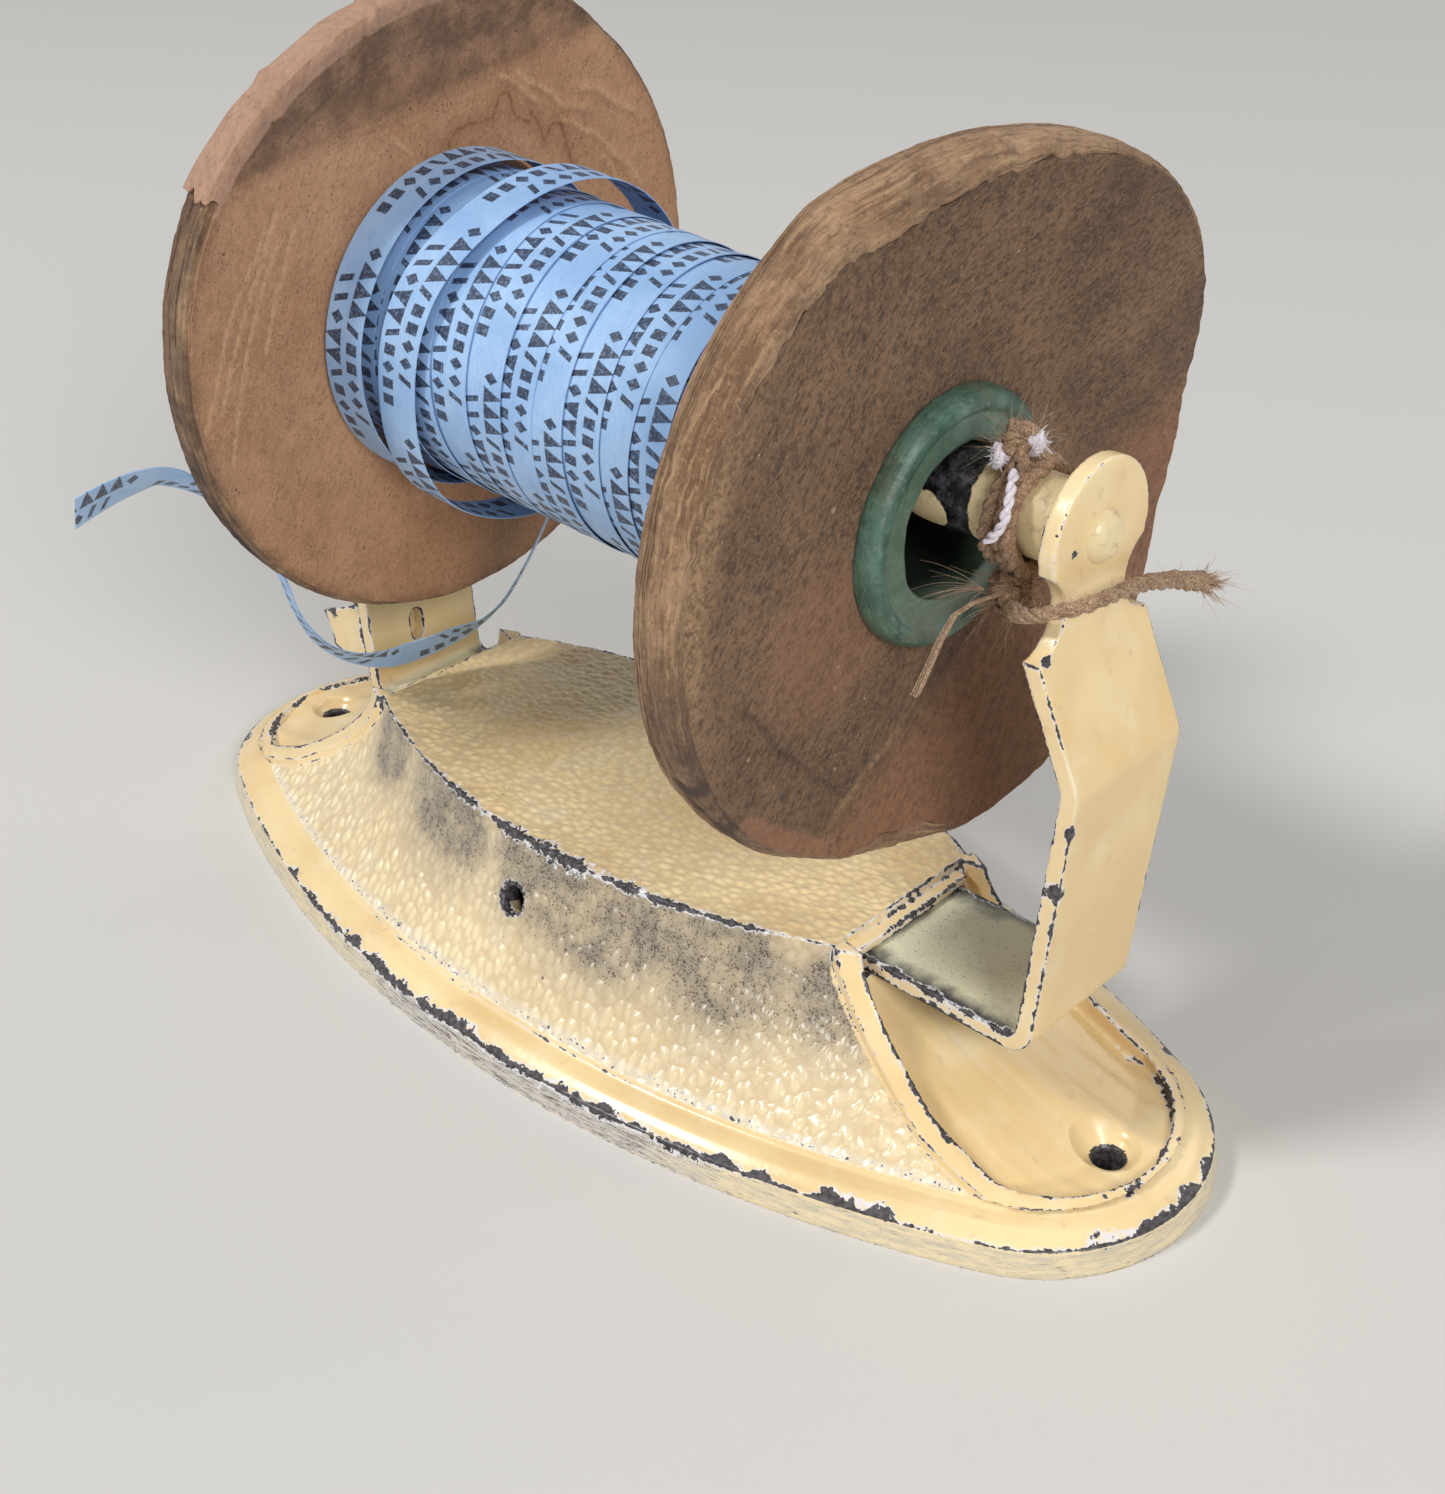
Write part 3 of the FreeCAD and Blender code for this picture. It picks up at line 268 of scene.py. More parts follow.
class Value:
    """A node's output. Sums, products and comparisons of values add the nodes that work them out."""

    def __init__(self, graph, socket):
        self.graph, self.socket = graph, socket

    def math(self, operation, other=0.0):
        return self.graph.add("Math", {0: self, 1: other}, operation=operation)

    def __add__(self, other):
        return self.math("ADD", other)

    def __sub__(self, other):
        return self.math("SUBTRACT", other)

    def __mul__(self, other):
        return self.math("MULTIPLY", other)

    def __truediv__(self, other):
        return self.math("DIVIDE", other)

    def __mod__(self, other):
        return self.math("FLOORED_MODULO", other)

    def __pow__(self, other):
        return self.math("POWER", other)

    def __lt__(self, other):
        return self.math("LESS_THAN", other)

    def __gt__(self, other):
        return self.math("GREATER_THAN", other)

    def __abs__(self):
        return self.math("ABSOLUTE")

    def lower(self, other):
        return self.math("MINIMUM", other)

    def higher(self, other):
        return self.math("MAXIMUM", other)

    def ramp(self, low, high, to_low=0.0, to_high=1.0):
        """The value mapped smoothly from low..high to to_low..to_high."""
        ends = {"Value": self, "From Min": low, "From Max": high, "To Min": to_low, "To Max": to_high}
        return self.graph.add("MapRange", ends, interpolation_type="SMOOTHSTEP")

    def mix(self, share, tint):
        return self.graph.mix(share, self, tint)

    def layers(self, *layers):
        """This colour under layers of (pattern, low, high, strength, tint)."""
        body = self
        for pattern, low, high, strength, tint in layers:
            body = body.mix(pattern.ramp(low, high, 0.0, strength), tint)
        return body


class Graph:
    """A material whose nodes are added by short calls that return values. Its place is in millimetres."""

    def __init__(self, name, roughness=0.5, **more):
        self.material = bpy.data.materials.new(name)
        self.material.use_nodes = True
        self.tree = self.material.node_tree
        self.shader = self.tree.nodes["Principled BSDF"]
        self.shader.inputs["Roughness"].default_value = roughness
        for key, value in more.items():
            self.shader.inputs[key.replace("_", " ")].default_value = value
        place = self.add("TexCoord", {}, "Object")
        self.place = self.add("VectorMath", {0: place, "Scale": 1 / MM}, operation="SCALE")

    def feed(self, socket, value):
        if isinstance(value, Value):
            self.tree.links.new(value.socket, socket)
        else:
            socket.default_value = value

    def set(self, socket, value):
        self.feed(self.shader.inputs[socket], value)

    def add(self, kind, inputs, output=0, **settings):
        """A new node with these settings and inputs; gives one of its outputs."""
        made = self.tree.nodes.new("ShaderNode" + kind)
        for key, value in settings.items():
            setattr(made, key, value)
        for key, value in inputs.items():
            self.feed(made.inputs[key], value)
        return Value(self, made.outputs[output])

    def mix(self, share, first, second):
        """first with a share of second over it; a tint is three display values of 0 to 255."""
        first, second = (colour(*tint) if isinstance(tint, tuple) else tint for tint in (first, second))
        return self.add("Mix", {0: share, 6: first, 7: second}, 2, data_type="RGBA")

    def attributes(self, *names):
        return [self.add("Attribute", {}, "Fac", attribute_name=name) for name in names]

    def along_x(self):
        return self.add("SeparateXYZ", {0: self.place})

    def pair(self, x, y):
        return self.add("CombineXYZ", {0: x, 1: y})

    def stretched(self, x, y, z, turn=0.0):
        """The place turned about X by an angle in degrees and then scaled, for streaks and grain."""
        turned = self.place
        if turn:
            turned = self.add("VectorRotate", {"Vector": self.place, "Angle": math.radians(turn)},
                              rotation_type="X_AXIS")
        return self.add("VectorMath", {0: turned, 1: (x, y, z)}, operation="MULTIPLY")

    def distance(self, place_mm):
        return self.add("VectorMath", {0: self.place, 1: place_mm}, "Value", operation="DISTANCE")

    def noise(self, scale, detail=3.0, roughness=0.55, where=None, distortion=0.0):
        return self.add("TexNoise", {"Vector": where or self.place, "Scale": scale, "Detail": detail,
                                     "Roughness": roughness, "Distortion": distortion})

    def cells(self, scale):
        """How far the place is from the nearest of many scattered points."""
        return self.add("TexVoronoi", {"Vector": self.place, "Scale": scale}, "Distance")

    def bump(self, height, distance):
        """Bump from a height of 0 to 1 that stands for distance millimetres."""
        self.set("Normal", self.add("Bump", {"Strength": 1.0, "Distance": distance * MM, "Height": height}))


# Materials
CREAM, CREAM_DEEP, CREAM_PALE = (246, 221, 168), (233, 202, 146), (248, 236, 206)
BARE_IRON = (38, 33, 31)
SCUFF = (228, 228, 234)


def rim_side(graph):
    """The rim's upright side: washed out, streaked and scratched along the foot."""
    streaks = graph.noise(1.0, 4.0, 0.75, graph.stretched(0.16, 0.16, 1.1))
    scratch = graph.noise(1.0, 4.0, 0.8, graph.stretched(0.3, 0.3, 5.0))
    rubbed_middle = 12.0
    away = abs(graph.along_x() - rubbed_middle) - graph.noise(0.06) * 40.0
    rubbed_out = away.ramp(6.0, 34.0, 1.0, 0.15)
    washed = graph.mix(streaks.ramp(0.4, 0.62), (236, 216, 172), (206, 194, 166))
    washed = washed.mix(rubbed_out * 0.7, (196, 194, 196))
    return washed.layers((scratch + rubbed_out * 0.1, 0.625, 0.655, 0.85, (52, 44, 42)))


def strap_metal(graph, edge):
    """Rubbed, dirty metal of the strap's foot, darker towards its edges."""
    smudge = edge.lower(6.0) - graph.noise(0.14, 5.0, 0.6) * 9.0
    rubbed = graph.mix(smudge.ramp(-4.4, 0.4, 1.0, 0.0), (230, 227, 196), (52, 50, 54))
    return rubbed.layers((graph.noise(0.5, 5.0, 0.7), 0.5, 0.75, 0.4, (164, 164, 146)),
                         (graph.noise(2.2, 4.0, 0.75), 0.6, 0.66, 0.85, (70, 62, 52)))


def enamel(name):
    """Old cream enamel over dark iron. Attributes say where it is worn and where light and shade are
    painted: edge is the distance to the nearest sharp edge in millimetres, wear the width worn there, chip
    and dirt are strengths, chip also making the screw hole's wall dark iron as painted shade, pale the
    strength of a painted sheen that makes sloping and narrow faces paler and of a pale line along the
    pebbles' edge, pebble the height of the grain, whose valleys are painted darker as shade, side the rim's
    upright wall and bare the rubbed strap."""
    graph = Graph(name, roughness=0.3, Coat_Weight=0.3, Coat_Roughness=0.17)
    edge, wear, chip, dirt, pebble, side, bare, pale = graph.attributes(
        "edge", "wear", "chip", "dirt", "pebble", "side", "bare", "pale")

    body = graph.mix(graph.noise(0.035).ramp(0.35, 0.65), CREAM, CREAM_DEEP)
    # Paler where pale says: a painted sheen on sloping and narrow faces, and a pale line along the pebbles'
    # edge.
    body = body.mix(pale * 0.42, CREAM_PALE)
    body = body.layers((graph.noise(0.11, 4.0), 0.5, 0.75, 0.35, CREAM_PALE))
    # Darker in the grain's valleys: painted shade.
    body = body.mix(pebble.ramp(0.0, 0.5, 0.3, 0.0), (184, 150, 104))
    body = body.layers((graph.noise(0.25, 5.0, 0.6), 0.62, 0.72, 0.25, (190, 140, 84)))
    body = body.mix(side, rim_side(graph))

    # Grime: a grey film with fine dark specks in the grain
    film = dirt * graph.noise(0.16, 5.0, 0.65).ramp(0.25, 0.65, 0.72, 1.0)
    body = body.mix(film ** 1.6 * 0.9, (134, 125, 113))
    grain = graph.noise(2.6, 3.0, 0.7) * 0.9 + pebble * 0.1
    body = body.layers((film * 0.255 - grain, -0.2, -0.17, 0.85, (60, 53, 48)))
    body = body.mix(bare, strap_metal(graph, edge))

    # Worn edges with a pale border, chips and freckles
    rough = graph.noise(0.75, 3.0, 0.6).ramp(0.32, 0.68)
    coarse = graph.noise(0.16, 4.0, 0.65).ramp(0.36, 0.62, 0.15, 1.5)
    width = wear * coarse * (rough * 1.1 + 0.35)
    gap = edge - 0.1
    worn = (width - gap).ramp(0.0, 0.1)
    border = wear * 0.55 + width + 0.12 - gap
    halo = border.ramp(0.0, 0.3) * graph.noise(0.9, 4.0, 0.7).ramp(0.34, 0.54) * wear.ramp(0.02, 0.12)
    body = body.mix(halo * 0.85, SCUFF)
    spotty = graph.noise(1.2, 4.0, 0.6) * 1.2 + chip
    body = body.layers((spotty, 0.94, 1.0, 0.8, SCUFF))
    freckle_size = graph.noise(0.07, 2.0).ramp(0.45, 0.75, 0.03, 0.105)
    freckles = graph.noise(2.2, 2.0) * 0.08 + graph.cells(0.16) < freckle_size
    gone = worn.higher(spotty.ramp(1.02, 1.06)).higher(freckles)
    iron = graph.mix(graph.noise(1.1, 4.0, 0.7).ramp(0.4, 0.62), BARE_IRON, (84, 80, 86))
    crumbs = graph.noise(2.6, 3.0, 0.7).ramp(0.52, 0.6) * pebble.ramp(0.9, 1.0)
    iron = iron.mix(crumbs, (196, 192, 194))
    graph.set("Base Color", body.mix(gone, iron))
    graph.set("Roughness", gone.higher(bare * 0.5).ramp(0.0, 1.0, 0.3, 0.6))
    graph.bump(pebble.lower(0.9) * 0.8 - gone * 0.5 + graph.noise(0.8, 3.0, 0.6) * 0.25, 0.22)
    return graph.material


def pulpboard(name):
    """Grey-brown pulpboard: fibrous, with dark lines between its cracked plies and darker patches. Attribute
    crack is 1 on a ply line between the plies and on the step under the torn lip, where it paints the shade
    in the gap; grime says how much darker the board is made in patches, painted shade on that step too; ply
    and around are the way across and along the rim."""
    graph = Graph(name, roughness=0.88, Sheen_Weight=0.12, Sheen_Roughness=0.5)
    crack_and_gap_shade, darkening, ply, around = graph.attributes("crack_and_gap_shade", "darkening", "ply", "around")
    fibre = graph.noise(1.3, 6.0, 0.75)
    strands = graph.noise(1.0, 6.0, 0.72, graph.pair(ply * 1.5, around * 0.11), 0.4)
    body = graph.mix(graph.noise(0.07, 5.0, 0.65).ramp(0.34, 0.62), (202, 162, 124), (148, 110, 78))
    body = body.layers((fibre, 0.5, 0.68, 0.7, (208, 172, 128)),
                       (graph.noise(0.7, 6.0, 0.75), 0.5, 0.68, 0.7, (104, 74, 50)),
                       (graph.noise(3.2, 3.0, 0.7), 0.62, 0.68, 0.7, (58, 40, 28)),
                       (strands, 0.5, 0.64, 0.75, (112, 80, 54)),
                       (strands, 0.47, 0.36, 0.7, (216, 178, 134)))
    # Darker patches where grime says and dark lines where crack says: on the step under the torn lip both
    # paint the shade in the gap; elsewhere they are a darker tone and the lines between the plies.
    body = body.mix(darkening * graph.noise(0.2, 5.0, 0.65).ramp(0.3, 0.6, 0.3, 1.0), (72, 47, 30))
    graph.set("Base Color", body.layers((crack_and_gap_shade, 0.3, 0.85, 0.85, (60, 38, 24))))
    graph.bump(fibre * 0.5 - strands + graph.noise(2.6, 5.0, 0.75) * 0.5, 0.6)
    return graph.material


def kraft(name, tones, fresh_tones, fibre_turn, darken, streaks, tide=0.0):
    """Kraft paper on a flange. tones are light, mid and dark, and tide the strength of the water stain.
    Attribute shade is the strength of painted shade, clouded like dirt, fresh the smooth stretches, ridge a
    pale line, a painted highlight on the crests of creases and wrinkles and also the pale scratches and worn
    rim, and tide how far the water's edge is in millimetres."""
    graph = Graph(name, roughness=0.78, Sheen_Weight=0.08)
    light, mid, dark = tones
    shade, fresh, ridge = graph.attributes("shade", "fresh", "ridge")
    fibres = graph.noise(1.0, 6.0, 0.74, graph.stretched(0.9, 0.36, 1.2, fibre_turn))
    mottle = graph.noise(0.8, 6.0, 0.78)
    crisp = graph.noise(1.0, 4.0, 0.8, graph.stretched(1.9, 0.7, 1.9, fibre_turn))
    specks = graph.noise(0.25) * 0.24 + graph.noise(2.4, 3.0, 0.7)
    body = graph.mix(graph.noise(0.045, 6.0, 0.72).ramp(0.3, 0.7), light, mid)
    body = body.layers((fibres, 0.5, 0.62, streaks, dark), (mottle, 0.52, 0.62, streaks, dark),
                       (graph.noise(1.5, 6.0, 0.78), 0.53, 0.6, 0.8, light),
                       (crisp, 0.53, 0.6, streaks, dark), (crisp, 0.45, 0.39, streaks, light),
                       (specks, 0.74, 0.79, 0.8, (48, 34, 26)))
    for size, low, high, strength, tint in ((0.24, 0.04, 0.2, 0.55, (196, 166, 132)),
                                            (0.42, 0.05, 0.22, 0.5, (204, 178, 146)),
                                            (0.33, 0.03, 0.2, 0.75, (42, 30, 24))):
        away = graph.noise(size * 6) * 0.12 + graph.cells(size)
        body = body.mix((away < graph.noise(size * 0.7, 2.0).ramp(0.46, 0.8, low, high)) * strength, tint)
    if tide:
        away = graph.noise(0.9, 3.0, 0.6) * 1.3 + graph.attributes("tide")[0]
        line = away.ramp(0.75, 1.2, tide, 0.0).higher(away.ramp(0.8, 3.6, 0.3, 0.0))
        body = body.mix(line, (124, 76, 42))
    smooth = graph.mix(fibres.ramp(0.4, 0.7, 0.0, 0.6), *fresh_tones)
    body = body.mix(fresh * mottle.ramp(0.3, 0.6, 0.95, 0.55), smooth)
    # Painted shade where shade says, clouded like dirt.
    shade_and_dirt = shade * graph.noise(0.14, 6.0, 0.7).ramp(0.3, 0.6, 0.3, 1.0)
    body = body.mix(shade_and_dirt * darken, (54, 36, 25))
    # Pale lines where ridge says: a painted highlight on crease and wrinkle crests, and pale scratches and
    # worn rim.
    body = body.mix(ridge * mottle.ramp(0.3, 0.65, 0.9, 0.15), (212, 174, 132))
    graph.set("Base Color", body)
    fold_line = abs(graph.noise(0.1, 4.0, 0.6, distortion=0.8) - 0.5).ramp(0.0, 0.02)
    graph.bump(mottle * 0.5 + fibres * 0.4 + fold_line * 0.25, 0.26)
    return graph.material


# Printed marks: their pitch, how far the upper row is shifted, and how many of a group's places are filled
MARK_PITCH, ROW_SHIFT = 2.9, 4.64
MARKS_IN_GROUP, GROUP_PITCH = 10, 13


def printed_tape(name):
    """Pale blue paper tape with two rows of plain printed marks: diamonds, squares, wedges and slants.
    Attribute along is the way along the tape in millimetres, across goes from -1 to 1."""
    graph = Graph(name, roughness=0.5, Sheen_Weight=0.05)
    along, across = graph.attributes("along", "across")
    grain = graph.noise(1.0, 4.0, 0.7, graph.stretched(2.4, 0.5, 0.5))
    paper = graph.mix(graph.noise(0.06).ramp(0.35, 0.65), (144, 181, 225), (167, 201, 240))
    paper = paper.layers((grain, 0.42, 0.66, 0.35, (122, 165, 217)))

    row = across > 0.0
    step = (row * ROW_SHIFT + along) / MARK_PITCH
    cell = step.math("FLOOR")
    in_group = cell % GROUP_PITCH
    kind = graph.add("TexWhiteNoise", {"Vector": graph.pair(in_group, row)}, "Value", noise_dimensions="2D")
    side = (step - cell - 0.5) * 2.5
    up = (abs(across) - 0.46) / 0.36
    wide, high = abs(side), abs(up)
    square = wide.higher(high) * 1.2
    wedge = (up * -1.1).higher(up * 0.55 + wide * 1.15)
    slant = high.higher(abs(side - up * 0.45) * 2.1)
    shape = wide + high
    for threshold, other in ((0.28, square), (0.52, wedge), (0.72, slant)):
        shape = graph.add("Mix", {0: kind > threshold, 2: shape, 3: other})
    ragged = graph.noise(2.4, 3.0, 0.7) * 0.4 + shape - 0.2
    faded = graph.noise(1.7, 4.0, 0.75).ramp(0.3, 0.52, 0.45, 0.95)
    ink = ragged.ramp(0.88, 1.0, 1.0, 0.0) * (in_group < MARKS_IN_GROUP) * faded
    graph.set("Base Color", paper.mix(ink, (24, 34, 62)))
    graph.bump(grain, 0.06)
    return graph.material


def green_wood(name):
    """Jade-green stained turning, mottled and rubbed paler on its lip. Attribute hollow is 0 on the lip, 0.5
    on the flat inside it, painted greyer as a sheen, and 1 in the bore, painted near black as shade."""
    graph = Graph(name, roughness=0.42, Coat_Weight=0.15, Coat_Roughness=0.3)
    hollow = graph.attributes("hollow")[0]
    blotch = graph.noise(0.12, 5.0, 0.65)
    rings = graph.noise(1.0, 4.0, 0.7, graph.stretched(2.6, 0.35, 0.35))
    body = graph.mix(blotch.ramp(0.34, 0.62), (90, 124, 108), (52, 84, 72))
    # hollow paints the flat inside the lip greyer as a sheen and the bore near black as shade.
    body = body.layers((graph.noise(0.5, 6.0, 0.78), 0.5, 0.68, 0.6, (126, 154, 136)),
                       (rings, 0.5, 0.7, 0.55, (42, 72, 60)),
                       (graph.noise(0.09, 4.0), 0.54, 0.7, 0.5, (112, 110, 88)),
                       (hollow, 0.1, 0.5, 0.45, (104, 122, 104)),
                       (hollow, 0.55, 1.0, 0.9, (30, 32, 28)))
    graph.set("Base Color", body)
    graph.set("Roughness", blotch.ramp(0.3, 0.7, 0.3, 0.5))
    graph.bump(rings * 0.6 + graph.noise(0.9, 5.0, 0.7) * 0.7, 0.2)
    return graph.material


def jute(name, light, dark):
    graph = Graph(name, roughness=0.82, Sheen_Weight=0.2)
    fibre = graph.noise(3.2, 4.0, 0.7)
    body = graph.mix(fibre.ramp(0.36, 0.64), dark, light)
    graph.set("Base Color", body.layers((graph.noise(0.5), 0.45, 0.7, 0.6, dark)))
    graph.bump(fibre, 0.12)
    return graph.material


def metal(name, light, dark):
    graph = Graph(name, roughness=0.45, Metallic=0.8)
    graph.set("Base Color", graph.mix(graph.noise(0.35, 5.0, 0.65).ramp(0.35, 0.65), light, dark))
    graph.set("Roughness", graph.noise(1.1, 4.0, 0.7).ramp(0.3, 0.7, 0.33, 0.65))
    graph.bump(graph.noise(1.6, 4.0, 0.7), 0.05)
    return graph.material


def axle_paint(name, side, hub_start, flake_place):
    """The stub axle: cream hub at the arm, then black and worn bright, with a flake of cream left on it."""
    graph = Graph(name, roughness=0.24, Coat_Weight=0.3, Coat_Roughness=0.1)
    wobble = (graph.noise(0.3, 3.0, 0.6) - 0.5) * 2.2
    hub = (graph.along_x() * side + wobble).ramp(hub_start, hub_start + 0.3)
    paint = hub.higher((graph.distance(flake_place) + wobble).ramp(3.6, 3.9, 1.0, 0.0))
    body = graph.mix(graph.noise(0.4, 5.0, 0.7).ramp(0.4, 0.66), (20, 18, 20), (88, 84, 92))
    cream = graph.mix(graph.noise(0.5, 5.0, 0.7).ramp(0.5, 0.7, 0.0, 0.7), (236, 216, 170), (186, 160, 118))
    graph.set("Base Color", body.mix(paint, cream))
    graph.set("Roughness", paint.ramp(0.0, 1.0, 0.2, 0.45))
    graph.bump(paint * 0.6 + graph.noise(0.9) * 0.4, 0.12)
    return graph.material


MATERIALS = {
    "enamel": enamel("cream_enamel"),
    "board": pulpboard("pulpboard"),
    "kraft_left": kraft(
        "kraft_left", ((194, 150, 116), (174, 128, 94), (138, 98, 70)), ((186, 150, 130), (132, 100, 84)),
        fibre_turn=-62, darken=0.72, streaks=0.34, tide=0.75),
    "kraft_right": kraft(
        "kraft_right", ((140, 108, 80), (92, 68, 49), (50, 34, 24)), ((150, 106, 80), (106, 72, 52)),
        fibre_turn=-50, darken=0.62, streaks=0.66),
    "tape": printed_tape("printed_tape"),
    "green": green_wood("green_turning"),
    "jute": jute("jute_twine", (192, 160, 128), (118, 88, 66)),
    "straw": jute("jute_fibre", (206, 178, 146), (150, 118, 92)),
    "cotton": jute("cotton_fluff", (240, 236, 240), (214, 206, 218)),
    "steel": metal("worn_steel", (150, 146, 140), (78, 72, 66)),
    "axle_right": axle_paint("axle_right_paint", 1, 71.8, (64.2, -6.4, 111.4)),
    "axle_left": axle_paint("axle_left_paint", -1, 46.2, (-38.0, -5.6, 112.0)),
}


# Cords: the loose end of the tape and the twine's tail
TAPE_WIDTH_MM, TAPE_THICK_MM, TWINE_RADIUS_MM = 9.5, 0.16, 1.5
LOOSE_TAPE_ROUTE = [
    (-41.5, 22.1, 95.1), (-41.5, 19.2, 82.0), (-42.0, 12.5, 69.5), (-43.5, 6.0, 59.5),
    (-47.5, 3.0, 52.0), (-52.5, -1.0, 47.5), (-57.0, -9.0, 44.2), (-59.5, -19.0, 44.8),
    (-61.2, -28.0, 50.2), (-61.8, -33.6, 59.5), (-61.8, -36.2, 70.0), (-61.8, -40.8, 80.5),
    (-61.8, -49.0, 91.0), (-61.8, -60.5, 97.8), (-61.5, -74.0, 94.5),
]
TWINE_TAIL_ROUTE = [
    (79.5, -4.4, 100.6), (83.2, -9.4, 102.4), (89.2, -11.6, 105.4), (94.6, -7.8, 107.4),
    (95.3, 1.5, 107.2), (95.4, 11.0, 105.0), (96.3, 20.0, 101.4),
]
# At shares of the length: how far the tape turns its face from the camera in radians, the tail's thickness
TAPE_TURNS = [(0.0, 0.03), (0.3, 0.05), (0.36, 0.3), (0.46, 0.42), (0.55, 0.2), (0.66, 0.1), (0.8, 0.12),
              (0.87, 0.25), (1.0, 0.45)]
TAIL_SWELL = [(0, 0.95), (0.25, 0.72), (0.6, 0.72), (0.85, 0.85), (1, 1.05)]


def at_shares(table, count):
    return np.interp(np.linspace(0, 1, count), *zip(*table))


def toss(dice, reach=1.0):
    return Vector([dice.uniform(-reach, reach) for _ in range(3)])


def band(loop, share, along_mm):
    """A closed band of tape: points, faces and the attributes along and across. loop holds a ring of points
    per step, its upper side at each share of the width from -1 to 1 and then its lower side back."""
    size = loop.shape[:2]
    along = np.broadcast_to(along_mm[:, None], size).ravel()
    across = np.broadcast_to(np.concatenate([share, share[::-1]]), size).ravel()
    return loop.reshape(-1, 3), tube_faces(*size), along, across


def make_loose_tape():
    path = nurbs_path("loose_tape_line", LOOSE_TAPE_ROUTE)
    tangents = frames_along(path)[0]
    view = squared(np.array(CAMERA_PLACE) - path, tangents)
    turn = at_shares(TAPE_TURNS, len(path))[:, None]
    wide = squared(view * np.cos(turn) + np.cross(tangents, view) * np.sin(turn), tangents)
    share = np.linspace(-1, 1, 6)
    middle = path[:, None, :] + wide[:, None, :] * (share * TAPE_WIDTH_MM / 2 * MM)[None, :, None]
    lift = np.cross(wide, tangents)[:, None, :] * TAPE_THICK_MM / 2 * MM
    loop = np.concatenate([middle + lift, (middle - lift)[:, ::-1]], axis=1)
    points, faces, along, across = band(loop, share, steps_along(path) / MM)
    piece = make_piece("loose_tape_band", points, faces, "root", "tape", "tape", "loose_tape",
                       attributes={"along": along, "across": across})
    float(steps_along(path)[-1])


def twisted(path, radius_mm, strands=3, lay_mm=7.0, seed=1, swell=1.0):
    """A laid rope: strands that wind round the path. swell scales its thickness along the way."""
    dice = random.Random(seed)
    _, normals, sidewise = frames_along(path)
    steps = steps_along(path) / MM
    parts = []
    for strand in range(strands):
        turn = (2 * math.pi * (steps / lay_mm + strand / strands) + dice.uniform(-0.2, 0.2))[:, None]
        reach = np.broadcast_to(radius_mm * 0.5 * MM * swell, steps.shape)[:, None]
        line = path + reach * (normals * np.cos(turn) + sidewise * np.sin(turn))
        lumps = 1 + 0.12 * np.sin(steps * 1.9 + strand) + 0.07 * np.sin(steps * 5.3 + 2 * strand)
        parts.append(tube(line, radius_mm * 0.56 * MM * lumps * swell))
    return parts


def fibres(anchors, directions, count, length_mm, radius_mm, seed, droop=0.3, spread=0.8):
    """Thin stray fibres that leave the given points roughly along the given directions."""
    dice = random.Random(seed)
    pieces = 8
    parts = []
    for _ in range(count):
        index = dice.randrange(len(anchors))
        place = Vector(anchors[index])
        heading = (Vector(directions[index]) + toss(dice, spread)).normalized()
        length = dice.uniform(*length_mm) * MM
        curl = toss(dice) * 0.35
        line = [tuple(place)]
        for _ in range(pieces):
            heading = (heading + curl * 0.16 + Vector((0, 0, -droop * 0.06))).normalized()
            place = place + heading * length / pieces
            line.append(tuple(place))
        width = dice.uniform(*radius_mm) * MM
        parts.append(tube(line, np.linspace(width, width * 0.35, len(line)), 4))
    return parts


def make_twine_tail():
    path = nurbs_path("twine_tail_line", TWINE_TAIL_ROUTE)
    rope = twisted(path, TWINE_RADIUS_MM, seed=5, swell=at_shares(TAIL_SWELL, len(path)))
    piece = make_piece("twine_tail_rope", *joined(rope), "right_arm", "jute", "jute", "twine_tail")
    tangents, normals, _ = frames_along(path)
    dice = random.Random(13)
    end = [path[-1 - number % 5] + np.array(toss(dice, 0.9)) * MM for number in range(40)]
    away = [tangents[-1]] * len(end)
    frayed = fibres(end, away, 150, (2.5, 5.5), (0.06, 0.13), 11, 0.1, 0.32)
    frayed += fibres(end, away, 30, (5.0, 9.0), (0.03, 0.05), 14, 0.1, 0.55)
    frayed += fibres(path, normals, 110, (0.8, 3.0), (0.03, 0.06), 12, 0.2, 1.2)
    fray = make_piece("twine_tail_fray", *joined(frayed), "right_arm", "jute", "straw")
    float(steps_along(path)[-1])


# Foot and arms: fine-meshed copies of the CAD pieces, with worn edges
def welded(mesh, distance_mm):
    work = bmesh.new()
    work.from_mesh(mesh)
    bmesh.ops.remove_doubles(work, verts=work.verts, dist=distance_mm * MM)
    return work


def sharp_edge_tree(mesh, angle=28, spacing=0.4):
    """A search tree of points along the mesh's sharp edges."""
    work = welded(mesh, 0.01)
    places = []
    for edge in work.edges:
        if len(edge.link_faces) != 2 or edge.calc_face_angle(0) < math.radians(angle):
            continue
        a, b = edge.verts[0].co, edge.verts[1].co
        steps = max(1, int((b - a).length / (spacing * MM)))
        places += [a.lerp(b, step / steps) for step in range(steps + 1)]
    work.free()
    tree = kdtree.KDTree(len(places))
    for index, place in enumerate(places):
        tree.insert(place, index)
    tree.balance()
    return tree


